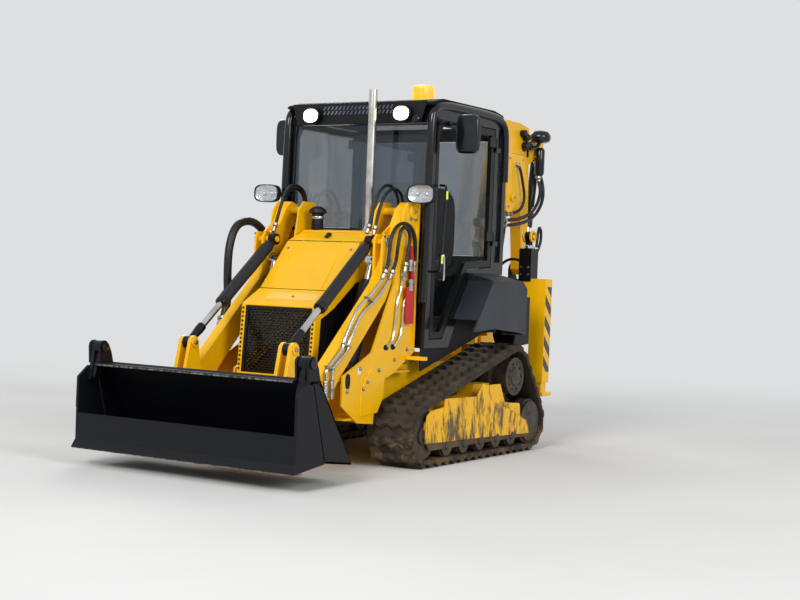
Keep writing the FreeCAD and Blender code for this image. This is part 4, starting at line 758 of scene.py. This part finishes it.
# %% Road lamps
HEAD, HEAD_HALF = (586, -578, 1651), (97, 58)
build("road_lamp_shells", [bulge([(0, 36), (0.5, 34), (0.85, 20), (1, 0), (1, -30), (0.985, -36), (0.93, -36),
    (0.9, -26), (0.86, -18), (0.5, 2), (0, 10)], HEAD, HEAD_HALF, power=3.2),
    tube([(548, -560, 1651), (540, -500, 1650), (532, -440, 1646)], 15)], moulded_abs, "machine",
    both=True)
build("road_lamp_bowls", [bulge([(0, -2), (0.3, -4), (0.6, -12), (0.86, -25), (0.905, -30), (0.91, -27), (0, 4)], HEAD,
    HEAD_HALF, power=3.2)], reflector, "machine", both=True)
build("road_lamp_bulbs", turned_at([(0, 0), (12, 0), (14, 10), (9, 20), (0, 24)], [(HEAD[0] + x, HEAD[1] + 4, HEAD[2])
    for x in (-34, 32)], (0, -1, 0)), reflector, "machine", both=True)
road_lens = build("road_lamp_lenses", [bulge([(0, -38), (0.5, -36.5), (0.92, -31), (0.92, -28), (0, -30)], HEAD,
    HEAD_HALF, power=3.2)], clear_lens, "machine", both=True)
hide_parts("headlamps")

# %% Beacon
BEACON = (250, -71, 2262)
build("beacon_base", [turned([(0, 0.5), (60, 0.5), (62, 4), (62, 20), (54, 26), (0, 26)], BEACON)], moulded_abs,
      "machine")
build("beacon_cap", [bulge([(0, 24), (1, 24), (1.02, 30), (1, 104), (0.92, 118), (0.6, 124), (0, 125)], BEACON,
                           (64, 54), power=4.5, axis="z")], amber_lens, "machine")

# %% Mirrors and door reflectors
MIRROR_HALF = (81, 121)
# The door reflectors carry a painted glow from their emitting material.
REFLECTORS = [plate([(y - 10, z - 26), (y + 10, z - 26), (y + 10, z + 26), (y - 10, z + 26)], 610, 615)
              for y, z in ((-334, 1660), (-366, 1260))]
for side, hand in ((1, "left"), (-1, "right")):
    door, mirror = "door_" + hand, (side * 698, -255, 2047)
    head = bulge([(0, 24), (0.9, 24), (1, 16), (1, -8), (0.96, -16), (0.9, -20), (0.8, -18), (0.45, -26), (0, -28)],
                 mirror, MIRROR_HALF, power=4.5)
    stay = tube([(side * 553, -252, 2113), (side * 600, -252, 2113), (side * 660, -250, 2100),
                 (side * 690, -250, 2060)], 7)
    clamp = turned([(0, -16), (13, -16), (15, -12), (15, 12), (13, 16), (0, 16)], (side * 566, -252, 2113), (1, 0, 0))
    shell = build(f"mirror_{hand}_shell", [head, stay, clamp], moulded_gloss, door)
    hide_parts("mirror_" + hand)
    build(f"mirror_{hand}_silvering", [bulge([(0, 25.2), (0.84, 25.2), (0.84, 23.5), (0, 23.5)], mirror, MIRROR_HALF,
        power=4.5)], reflector, door)
    build("door_reflectors_" + hand, REFLECTORS if side == 1 else [flip(part) for part in REFLECTORS], reflex_green_painted_glow,
          door, bevel=2)

# %% [markdown]
# ## Shovel back, its lugs and posts
# The shovel is two-jawed. Its back is a bent board of 14 mm steel with a lip along the top, two cheeks, and at each end
# a pair of posts that carry the front jaw's pin. Two amber lugs behind each ram take the ram's lower pin. The whole
# back is drawn again here from plates, because the lugs are painted amber and the rest black.

# %% Shovel back
CLAM, EYE, HINGE = (-1944, 675), (-1592, 718), (-1540, 400)
LUG = [(-1632, 718), (-1624, 740), (-1606, 754), (-1584, 757), (-1564, 746), (-1553, 726), (-1552, 698), (-1515, 460),
       (-1495, 395), (-1518, 358), (-1600, 205), (-1760, 420), (-1788, 456), (-1668, 560)]
lugs = [plate(LUG, low, high) for low, high in ((317, 339), (385, 407))]
lugs += [turned([(0, 0), (27, 0), (30, 3), (30, 9), (0, 9)], (x, *EYE), (way, 0, 0))
         for x, way in ((318, -1), (406, 1))]
build("shovel_lugs", lugs, amber_enamel, "shovel_back", bevel=4, both=True)
build("lug_pins", [turned([(0, 0), (13, 0), (14, 2), (14, 13), (10, 15), (0, 15)], (x, *EYE), (way, 0, 0))
                   for x, way in ((316, -1), (408, 1))] +
      [turned([(0, 0), (22, 0), (22, 10), (0, 12)], (512, *HINGE), (1, 0, 0))], zinc_plate, "shovel_back",
      both=True)

BOARD = [(-1541, 108), (-1799, 137), (-1799, 151), (-1560, 124), (-1764, 410), (-1868, 560), (-1860, 573), (-1750, 415)]
LIP = [(-1862, 557), (-2004, 568), (-2011, 572), (-2011, 582), (-2004, 587), (-1858, 574)]
FOLD = [(-1872, 556), (-1890, 574), (-1870, 590), (-1856, 574)]
CHEEK = [(-1541, 108), (-1799, 137), (-1924, 565), (-1860, 573), (-1750, 415)]
POST = [(-1984, 679), (-1980, 697), (-1968, 709), (-1952, 715), (-1936, 714), (-1918, 703), (-1904, 685), (-1884, 645),
        (-1856, 545), (-1870, 545), (-1884, 583), (-1978, 583)]
HINGE_LUG = [(-1515, 440), (-1495, 395), (-1518, 358), (-1600, 205), (-1765, 430), (-1585, 445)]
cheek = plate(CHEEK, 765, 781)
sides = [plate(POST, 691, 705), plate(POST, 767, 781), plate(HINGE_LUG, 490, 512)]
shell = build("shovel_back_plates", [plate(BOARD, -781, 781), plate(LIP, -705, 705), flip(cheek), cheek] +
              [part for side in sides for part in (side, flip(side))] + [plate(FOLD, -781, 781)],
              digging_enamel, "shovel_back", bevel=2.5)
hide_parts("shovel_back")
build("hinge_pins", [turned([(0, 0), (22, 0), (22, 128), (0, 128)], (385, *HINGE), (1, 0, 0))], dark_steel,
      "shovel_back", both=True)
caps = [turned([(0, 0), (26, 0), (28, 3), (28, 10), (18, 12), (16, 9), (0, 9)], (x, *CLAM), (way, 0, 0))
        for x, way in ((780, 1), (692, -1))]
build("post_pin_caps", caps, black_gloss, "shovel_back", both=True)
build("jaw_knuckles", [turned([(0, 0), (34, 0), (37, 3), (37, 49), (34, 52), (0, 52)], (710, *CLAM), (1, 0, 0))],
      digging_enamel, "shovel_clam", both=True)
build("jaw_stiffeners", [plate([(-1998, 505), (-1962, 640), (-1930, 640), (-1934, 505)], 712, 736),
                         plate([(-2068, 508), (-2040, 512), (-2060, 330), (-2070, 330)], 772, 783)],
      digging_enamel, "shovel_clam", bevel=3, both=True)
build("cutting_edge", [plate([(-2004, 92.5), (-2095, 100), (-2097.5, 104), (-2092, 112), (-2000, 118)], -779, 779)],
      worn_steel_and_highlight, "shovel_clam", bevel=1.5)
# A thin bright strip along the lip's front edge, which paints the highlight where light catches that edge.
build("lip_edge_painted_highlight", [plate([(-2011.8, 573), (-2012.4, 577), (-2011.8, 581), (-2010.5, 577)], -700, 700)], worn_steel_and_highlight,
      "shovel_back")

# %% [markdown]
# ## Track
# A rubber track is one moulded loop. Its lugs are wavy bars, which clear clay better than straight ones. The loop's
# line is that of a belt round three wheels: for each direction, the belt's furthest point is on the wheel that reaches
# furthest that way. The bars stand evenly along it, each shifted back and forth across its width.

# %% Track with wavy bars
WHEELS = np.array([(-684, 200, 150), (687, 200, 150), (447, 510, 166)], float)
BAND, BAR = 25, 25
TRACK_X = (427, 746)
BARS = 42


def belt(extra, at):
    """Places on the belt and its outward directions, at these shares of its length, extra mm outside the wheels."""
    angle = np.linspace(0, 2 * math.pi, 2880)
    out = np.column_stack([np.cos(angle), np.sin(angle)])
    reach = out @ WHEELS[:, :2].T + WHEELS[:, 2]
    wheel = WHEELS[reach.argmax(axis=1)]
    places = wheel[:, :2] + (wheel[:, 2:] + extra) * out
    inner = wheel[:, :2] + wheel[:, 2:] * out
    travelled = np.concatenate([[0], np.cumsum(np.linalg.norm(np.diff(inner, axis=0), axis=1))])
    spots = np.array(at) * travelled[-1]
    pick = lambda values: np.column_stack([np.interp(spots, travelled, values[:, i]) for i in (0, 1)])
    return pick(places), pick(out)


def band_surface():
    """The plain band: four corners of its section carried round the belt, and closed on itself."""
    at = np.arange(360) / 360
    rings = []
    for x, extra in ((TRACK_X[0], 0.3), (TRACK_X[0], BAND), (TRACK_X[1], BAND), (TRACK_X[1], 0.3)):
        places, _ = belt(extra, at)
        rings.append(np.column_stack([np.full(len(at), x), places]))
    points = np.stack(rings, axis=1).reshape(-1, 3) * MM
    faces = [[(4 * ring + corner) % 1440 for corner in (side, (side + 1) % 4, (side + 1) % 4 + 4, side + 4)]
             for ring in range(360) for side in range(4)]
    return points, faces


def bar_surfaces():
    """Every bar: a tapered section at stations across the track, shifted along the belt by a triangle wave."""
    share = (np.arange(BARS) + 0.5) / BARS
    base, out = belt(BAND - 1.5, share)
    along = np.column_stack([-out[:, 1], out[:, 0]])
    across = np.linspace(0, 1, 19)
    wave = 13 * (2 * np.abs(2 * (across * 3.5 % 1) - 1) - 1)
    rise = np.where((across < 0.01) | (across > 0.99), 0.55, 1.0)
    section = [(-29, 0), (-20, 0.75), (-14, 1), (14, 1), (20, 0.75), (29, 0)]
    pieces = []
    for middle, way, forward in zip(base, out, along):
        rings = []
        for t, shift, tall in zip(across, wave, rise):
            x = TRACK_X[0] + 1 + t * (TRACK_X[1] - TRACK_X[0] - 2)
            for step, height in section:
                spot = middle + forward * (step + shift) + way * height * tall * (BAR + 1.4)
                rings.append((x, spot[0], spot[1]))
        pieces.append((np.array(rings) * MM, strips(len(across), len(section))))
    return pieces


def edge_blocks():
    """Short ribs on the band's two sides, one under each bar's end, where the moulding wraps over the edge."""
    share = (np.arange(BARS) + 0.5) / BARS
    places, out = belt(BAND / 2, share)
    pieces = []
    for middle, way in zip(places, out):
        forward = np.array([-way[1], way[0]])
        for x in (TRACK_X[0] + 4, TRACK_X[1] + 2.5):
            corners = [middle + forward * step + way * rise for step, rise in ((-20, -11), (20, -11), (16, 12),
                (-16, 12))]
            rings = [(level, *corner) for level in (x - 5, x) for corner in corners]
            pieces.append((np.array(rings) * MM, strips(2, 4)))
    return pieces


track_parts = [band_surface()] + bar_surfaces() + edge_blocks()
for side, name in ((1, "track_left"), (-1, "track_right")):
    parts = track_parts if side == 1 else [flip(part) for part in track_parts]
    obj = build(name + "_rubber", parts, track_rubber, "machine")
    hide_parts(name)
print("bars", BARS)

# %% [markdown]
# ## Track frame plates and wheels
# The frame between the wheels is closed by three lapped amber plates, and clay has run down them in streaks. The
# idlers and rollers have a rolled rim and a bolted hub with a grease cap.

# %% Frame plates and hubs
FRAME_PLATES = [([(-698, 152), (-690, 318), (-640, 346), (-492, 361), (-484, 146)], 740),
                ([(-488, 146), (-488, 412), (-79, 405), (-71, 140)], 743.5),
                ([(-75, 140), (-82, 405), (-1, 483), (85, 465), (122, 367), (400, 290), (651, 193), (658, 120)], 741)]
build("frame_plates", [plate(outline, 733, face) for outline, face in FRAME_PLATES], amber_streaked, "machine",
      bevel=3, both=True)
build("frame_ribs", [plate([(y - 7, low), (y + 7, low), (y + 7, high), (y - 7, high)], 740, 745.5) for y, low,
    high in ((-476, 150, 352), (-71, 146, 322))] + [plate([(-476, 318), (-476, 330), (-71, 305), (-71, 293)], 743,
    747)], amber_streaked, "machine", bevel=2, both=True)
RIM = [(58, 0), (64, 2), (64, 8), (56, 11), (30, 12), (28, 20), (20, 24), (0, 24)]
rims = [turned([(r * scale, d) for r, d in RIM], (721, y, z), (1, 0, 0), sides=36) for y, z, scale in ((-420, 121, 1.0),
    (-210, 121, 1.0), (0, 121, 1.0), (210, 121, 1.0), (420, 121, 1.0), (687, 200, 2.1))]
hub = [(118, 0), (126, 4), (126, 14), (112, 18), (104, 12), (62, 12), (58, 22), (40, 28), (0, 28)]
rims.append(turned(hub, (715, 447, 510), (1, 0, 0), sides=48))
build("wheel_hubs", rims, dark_steel, "machine", both=True)
hub_bolts = [turned([(0, 0), (8, 0), (8, 8), (0, 9)], (728, 447 + 86 * math.cos(a), 510 + 86 * math.sin(a)), (1, 0, 0),
                    sides=6) for a in np.arange(10) * math.pi / 5]
build("hub_bolts", hub_bolts, dark_steel, "machine", both=True)

# %% [markdown]
# ## Loader towers
# Each tower's outer plate has a welded gusset, bolted pins with round keepers, an oval opening that the pipes run into
# and a small blank plate. The lift ram behind it wears a woven black sleeve.

# %% Tower details
FACE = 500
build("tower_gussets", [plate([(-1062, 318), (-1062, 470), (-968, 596), (-906, 606), (-812, 560), (-812, 430),
    (-880, 330)], FACE - 0.5, FACE + 7)], amber_enamel, "machine", bevel=3, both=True)
build("tower_edge_strap", [plate([(-500, 700), (-486, 700), (-486, 1100), (-476, 1440), (-476, 1590), (-496, 1590),
    (-496, 1440), (-506, 1100)], FACE - 0.5, FACE + 9)], amber_enamel, "machine", bevel=2, both=True)
keepers = [turned([(0, 0), (radius, 0), (radius + 2, 2), (radius + 2, high - 2), (radius, high), (0, high)],
    (FACE, y, z), (1, 0, 0), sides=32) for y, z, radius, high in ((-545, 1545, 42, 14), (-1000, 520, 30, 9))]
build("pin_keepers", keepers, amber_enamel, "machine", both=True)
BOLT, DISC = [(0, 0), (9, 0), (9, 7), (0, 8)], [(0, 0), (24, 0), (26, 2), (26, 8), (24, 10), (0, 10)]
build("tower_bolts", turned_at([(13, 0), (13, 2), (9.5, 2.2), (9.5, 8), (8, 9.5), (0, 9.5)], [
    (FACE + 7, -878, 585), (FACE + 7, -1040, 480), (FACE, -1200, 470), (FACE, -1070, 600), (FACE + 14, -545, 1545),
    (FACE, -572, 1500), (FACE + 9, -1000, 520), (FACE, -520, 1500), (FACE, -700, 640), (FACE, -560, 700)], sides=12),
      zinc_plate, "machine", both=True)
ovals = [bulge([(0, 0), (1, 0), (1, 2.4), (0.86, 2.6), (0.84, 1.0), (0, 1.0)], (FACE, y, z), half, power=2.6, axis="x")
         for y, z, half in ((-1196, 530, (24, 44)), (-800, 718, (26, 17)), (-722, 720, (26, 17)))]
build("pipe_openings", ovals, moulded_abs, "machine", both=True)
build("blank_plate", [plate([(-1096, 566), (-1096, 606), (-1064, 606), (-1064, 566)], FACE, FACE + 1.2)], plate_white,
      "machine", bevel=0.6)
LIFT_BASE, LIFT_LINE = (362, -1000, 520), (0, 0.29682, 0.95493)
build("lift_sleeves", [turned([(0, 90), (42, 90), (46, 96), (47, 110), (47, 590), (46, 608), (0, 608)], LIFT_BASE,
    LIFT_LINE, sides=32)], ram_sleeve, "lift_barrels", both=True)
build("arm_pins", turned_at(DISC, at_x(482, [(-804, 1350), (-779, 1231)])) +
      turned_at(BOLT, at_x(482, [(-835, 1383), (-828, 1190), (-760, 1380)]), sides=6), zinc_plate, "loader_arms",
      both=True)

# %% [markdown]
# ## Rear posts and digging arm
# The outer face of each rear post has a strip of black and amber bars. The boom carries bolted side plates, a rear
# lamp with a mushroom cap, and black hoses.

# %% Hazard strip
hazard_tape, tree, shader = new_material("hazard_tape", Roughness=0.35, Coat_Weight=0.2)
place = add(tree, "ShaderNodeTexCoord").outputs["Object"]
axes = add(tree, "ShaderNodeSeparateXYZ", {"Vector": place})
BAR_PITCH = 0.140
slant = add(tree, "ShaderNodeMath", {0: axes.outputs["Y"], 1: axes.outputs["Z"]}, operation="ADD")
turns = add(tree, "ShaderNodeMath", {0: slant.outputs[0], 1: 1 / BAR_PITCH}, operation="MULTIPLY")
saw = add(tree, "ShaderNodeMath", {0: turns.outputs[0]}, operation="FRACT")
dark_bar = add(tree, "ShaderNodeMath", {0: saw.outputs[0], 1: 0.5}, operation="GREATER_THAN")
muddy(tree, shader, mix(tree, dark_bar.outputs[0], linear(AMBER), linear("#0F1013")), 0.5, 0.1, 0.35)
build("hazard_strips", [plate([(906, 520), (906, 1108), (994, 1108), (994, 520)], 702.6, 704.2)], hazard_tape,
      "machine", both=True)
build("post_bolts", turned_at(BOLT, [(x, 892, z) for z in (1190, 1240) for x in (512, 568)], (0, -1, 0), sides=6),
      zinc_plate, "machine", both=True)
build("cover_rings", turned_at([(36, 0), (40, 0), (42, 3), (42, 13), (38, 16), (30, 16), (30, 0)], [(499, 950, 1455),
    (557, 950, 1455)]) + turned_at([(0, 0), (15, 0), (15, 74), (0, 74)], [(499, 950, 1455)]), amber_enamel, "machine",
    both=True)
build("cover_collars", [turned([(24, 0), (31, 0), (33, 3), (33, 20), (30, 24), (24, 24)], (536, 950, 1370))],
      hard_chrome, "machine", both=True)

# %% Boom plates, rear lamp and black cylinder
CHEEK_PLATE = [(1420, 1660), (1420, 2050), (1452, 2086), (1660, 2086), (1692, 2056), (1704, 1720), (1660, 1684),
               (1460, 1644)]
build("boom_side_plates", [plate(CHEEK_PLATE, 67, 94)], amber_enamel, "hoe_boom", bevel=4, both=True)
build("boom_bosses", turned_at([(0, 0), (30, 0), (33, 3), (33, 14), (26, 18), (0, 18)], [(94, 1510, 1760),
    (67, 1740, 2160), (66, 1290, 640)]), amber_enamel, "hoe_boom", both=True)
build("boom_bolts", turned_at(BOLT, at_x(94, [(1452, 2050), (1660, 2050), (1452, 1690), (1672, 1730)]), sides=6) +
      turned_at([(0, 0), (12, 0), (12, 5), (0, 6)], [(112, 1510, 1760)], sides=6), zinc_plate, "hoe_boom",
      both=True)
build("boom_head_plates", [plate([(1436, 2328), (1640, 2330), (1792, 2306), (1808, 2226), (1806, 2110), (1760, 2092),
    (1560, 2092), (1440, 2080)], 60.4, 66), plate([(1436, 2322), (1436, 2328), (1560, 2329), (1560, 2323)], 0, 62)],
    amber_enamel, "hoe_boom", bevel=2, both=True)
build("rear_lamp", [turned([(0, -46), (50, -46), (72, -36), (81, -12), (78, 14), (60, 38), (28, 47), (0, 48)],
    (104, 1912, 2250)), tube([(104, 1912, 2220), (98, 1900, 2180), (90, 1850, 2160), (78, 1790, 2150)], 13)],
    moulded_gloss, "hoe_boom")
build("rear_lamp_bracket", [plate([(1700, 2120), (1700, 2190), (1800, 2200), (1850, 2180), (1850, 2150)], 68, 80)] +
      turned_at([(0, 0), (24, 0), (27, 4), (27, 40), (22, 46), (0, 46)],
                at_x(66, [(1668, 2252), (1716, 2226), (1700, 2160)]), sides=20) +
      [tube([(100, 1668, 2252), (104, 1690, 2200), (100, 1720, 2130), (90, 1740, 2080)], 9, sides=10)],
      black_enamel, "hoe_boom", bevel=2)
build("dipper_accumulator", [turned([(0, -108), (24, -108), (34, -98), (38, -84), (38, 84), (34, 98), (24, 108),
    (0, 108)], (84, 1955, 2062), sides=32)], black_gloss, "hoe_dipper")
build("accumulator_collars", [turned([(0, -130), (15, -130), (18, -126), (18, -112), (15, -106), (0, -106)],
    (84, 1955, 2062)), turned([(0, 0), (12, 0), (12, 26), (0, 26)], (46, 1930, 2100), (1, 0, 0.1))], zinc_plate,
    "hoe_dipper")

# %% Hoses of the digging arm
POST_HOSE = [(540, 998, 1170), (510, 1040, 1210), (430, 1050, 1290), (330, 1040, 1300), (240, 1030, 1220),
             (140, 1040, 1100), (90, 1050, 960), (70, 1070, 800)]
REAR_HOSES = [  # name, body at the exit, body at the far end, diameter, points
    ("boom_hose_chrome", "hoe_boom", "", 22, [(88, 1546, 2012), (118, 1560, 2000), (130, 1572, 1940), (132, 1600, 1870),
                                              (130, 1640, 1780), (124, 1630, 1700), (112, 1560, 1650),
                                              (80, 1470, 1632)]),
    ("boom_hose_low_a", "hoe_boom", "hoe_dipper", 26, [(74, 1400, 1580), (96, 1460, 1590), (106, 1600, 1604),
                                                       (106, 1760, 1640), (104, 1880, 1705), (98, 1955, 1790),
                                                       (86, 1985, 1870), (58, 1975, 1950)]),
    ("boom_hose_low_b", "hoe_boom", "hoe_dipper", 26, [(74, 1396, 1545), (100, 1460, 1552), (112, 1600, 1566),
                                                       (112, 1780, 1606), (108, 1920, 1680), (100, 2010, 1780),
                                                       (84, 2030, 1890), (56, 2000, 2000), (46, 1960, 2060)]),
    ("boom_hose_down", "hoe_boom", "", 18, [(68, 1420, 1640), (78, 1448, 1600), (76, 1440, 1500), (72, 1400, 1300),
                                            (66, 1372, 1130)]),
    ("post_hose_a", "machine", "hoe_carriage", 20, POST_HOSE),
    ("post_hose_b", "machine", "hoe_carriage", 20, mirrored(POST_HOSE)),
    ("post_top_hose", "machine", "", 20, [(566, 996, 1340), (570, 1006, 1420), (568, 1020, 1500), (560, 1060, 1530),
                                          (556, 1096, 1480), (552, 1090, 1390), (550, 1006, 1300)]),
]
rear_ends = {}
for name, body, far_body, across, points in REAR_HOSES:
    hose(name, points, across, 12, body, far_body)
    for holder, end in zip((body, far_body or body), fittings(points, 10, 40, across / 2 + 3)):
        rear_ends.setdefault(holder, []).append(end)
for body, ends in rear_ends.items():
    build("hose_ends_" + body, ends, zinc_plate, body)

# %% [markdown]
# ## Operator's seat
# The seat is a black tray with two foam cushions in cloth. Each cushion is a closed crowned form, pulled in along two
# sewn channels and with piping round its widest line. Its sag is computed, not simulated.

# %% Seat
def channelled(part, lines, depth, width, axis, face):
    """Presses sewn channels into the face of a cushion that looks along an axis (0, 1 or 2), at these x places."""
    points, faces = part
    points = points.copy()
    middle = points[:, axis].mean()
    front = (points[:, axis] - middle) * face > 0
    for line in lines:
        press = depth * MM * np.exp(-((points[:, 0] - line * MM) / (width * MM)) ** 2)
        points[front, axis] -= face * press[front]
    return points, faces


def piping(centre, half, power, plane):
    """A thin cord round a cushion's widest line, in the XY plane or the XZ plane."""
    a, b = oval(np.linspace(0, 2 * math.pi, 49), half, power)
    zero = np.zeros_like(a)
    around = np.column_stack([a, b, zero] if plane == "XY" else [a, zero, b])
    return tube(around + np.array(centre), 4, sides=8, steps=1)


SEAT_HALF, BACK_HALF, CROWN_POWER = (226, 201), (216, 286), 4.2
crown = [(0, 0), (0.6, 0), (0.92, 3), (0.98, 14), (1, 36), (0.985, 58), (0.93, 74), (0.82, 83), (0.6, 88), (0.3, 90),
         (0, 90)]
cushion = bulge(crown, (0, 225, 1180), SEAT_HALF, power=CROWN_POWER, axis="z", sides=96)
back_crown = [(0, 80), (0.6, 80), (0.92, 77), (0.98, 66), (1, 46), (0.985, 26), (0.93, 12), (0.82, 5), (0.5, 1), (0, 0)]
back = bulge(back_crown, (0, 400, 1470), BACK_HALF, power=CROWN_POWER, sides=96)
seat_pad = build("seat_cushion", [channelled(cushion, (-120, 120), 12, 14, 2, 1)], seat_cloth, "machine")
back_pad = build("seat_back_cushion", [channelled(back, (-110, 110), 12, 14, 1, -1)], seat_cloth, "machine")
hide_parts("operator_seat")
build("seat_piping", [piping((0, 225, 1216), SEAT_HALF, CROWN_POWER, "XY"),
                      piping((0, 446, 1470), BACK_HALF, CROWN_POWER, "XZ")], moulded_abs, "machine")
build("seat_tray", [plate([(40, 1136), (26, 1150), (26, 1180), (470, 1180), (470, 1150), (456, 1136)], -214, 214),
                    plate([(440, 1160), (474, 1160), (478, 1400), (464, 1400)], -60, 60)], moulded_abs, "machine",
      bevel=6)

# %% [markdown]
# ## Cab sides under the doors
# Black moulded skirts close the cab's sides above the tracks.

# %% Skirts
SKIRT = [(-430, 560), (0, 680), (380, 790), (545, 790), (545, 905), (-430, 905)]
build("cab_skirts", [plate(SKIRT, 512, 520)], moulded_abs, "machine", bevel=3, both=True)

# %% [markdown]
# ## Floor, backdrop and light
# The machine stands on a plain pale floor that fades into the background. Three soft lamps light it: a broad one from
# the front, a fill from the machine's left and one from above and behind that draws the edges. The background's
# brightness is set apart for the rays that show it, so it doesn't add light to the paint.

# %% Stage
BACKDROP, GLOW = linear("#E3E4E5"), 0.95
FLOOR = 30.0
FADE_FROM, FADE_TO = 3.0, 9.0


def seen_rays(tree):
    """1 for rays from the camera, from a reflection or through glass, which show the backdrop, and 0 for others."""
    path = add(tree, "ShaderNodeLightPath")
    seen = path.outputs["Is Camera Ray"]
    for kind in ("Is Glossy Ray", "Is Transmission Ray"):
        seen = add(tree, "ShaderNodeMath", {0: seen, 1: path.outputs[kind]}, operation="MAXIMUM").outputs[0]
    return seen


floor_mesh = bpy.data.meshes.new("floor")
floor_mesh.from_pydata([(x * FLOOR, y * FLOOR, -0.0005) for x, y in ((-1, -1), (1, -1), (1, 1), (-1, 1))], [],
                       [(0, 1, 2, 3)])
floor = bpy.data.objects.new("floor", floor_mesh)
bpy.context.scene.collection.objects.link(floor)
floor_paint, tree, shader = new_material("floor_paint", Roughness=0.9, Specular_IOR_Level=0.1)
tree.links.new(mixed(tree, "#D6D5D2", "#DBDAD7", 0.6)[0], shader.inputs["Base Color"])
place = add(tree, "ShaderNodeTexCoord").outputs["Object"]
far = add(tree, "ShaderNodeVectorMath", {0: place}, operation="LENGTH").outputs["Value"]
fade = add(tree, "ShaderNodeMapRange", {"Value": far, "From Min": FADE_FROM, "From Max": FADE_TO},
           interpolation_type="SMOOTHSTEP")
share = add(tree, "ShaderNodeMath", {0: fade.outputs["Result"], 1: seen_rays(tree)}, operation="MULTIPLY")
haze = add(tree, "ShaderNodeEmission", {"Color": BACKDROP, "Strength": GLOW})
blended = add(tree, "ShaderNodeMixShader", {0: share.outputs[0], 1: shader.outputs[0], 2: haze.outputs[0]})
tree.links.new(blended.outputs[0], tree.nodes["Material Output"].inputs["Surface"])
floor_mesh.materials.append(floor_paint)

world = bpy.data.worlds.new("studio")
bpy.context.scene.world = world
world.use_nodes = True
tree = world.node_tree
tree.nodes.clear()
backdrop = add(tree, "ShaderNodeBackground", {"Color": BACKDROP, "Strength": GLOW})
ambient = add(tree, "ShaderNodeBackground", {"Color": linear("#E8ECF2"), "Strength": 0.55})
shown = add(tree, "ShaderNodeMixShader", {0: seen_rays(tree), 1: ambient.outputs[0], 2: backdrop.outputs[0]})
add(tree, "ShaderNodeOutputWorld", {"Surface": shown.outputs[0]})


def softbox(name, place, aim, size, power):
    """A square area lamp at place, turned towards aim."""
    data = bpy.data.lights.new(name, "AREA")
    data.size = size
    data.energy = power
    lamp = bpy.data.objects.new(name, data)
    bpy.context.scene.collection.objects.link(lamp)
    away = np.array(place, float) - np.array(aim, float)
    lamp.rotation_euler = (math.atan2(math.hypot(away[0], away[1]), away[2]), 0, math.atan2(away[0], -away[1]))
    lamp.location = place


softbox("key_softbox", (2.0, -13.0, 8.5), (0, 0, 1.0), 5.0, 1350)
softbox("side_softbox", (12.0, -4.0, 6.5), (0, 0, 1.0), 5.0, 700)
softbox("rim_softbox", (-8.0, 8.0, 8.0), (0, 0, 1.0), 5.0, 520)
bpy.context.scene.view_settings.view_transform = "Standard"
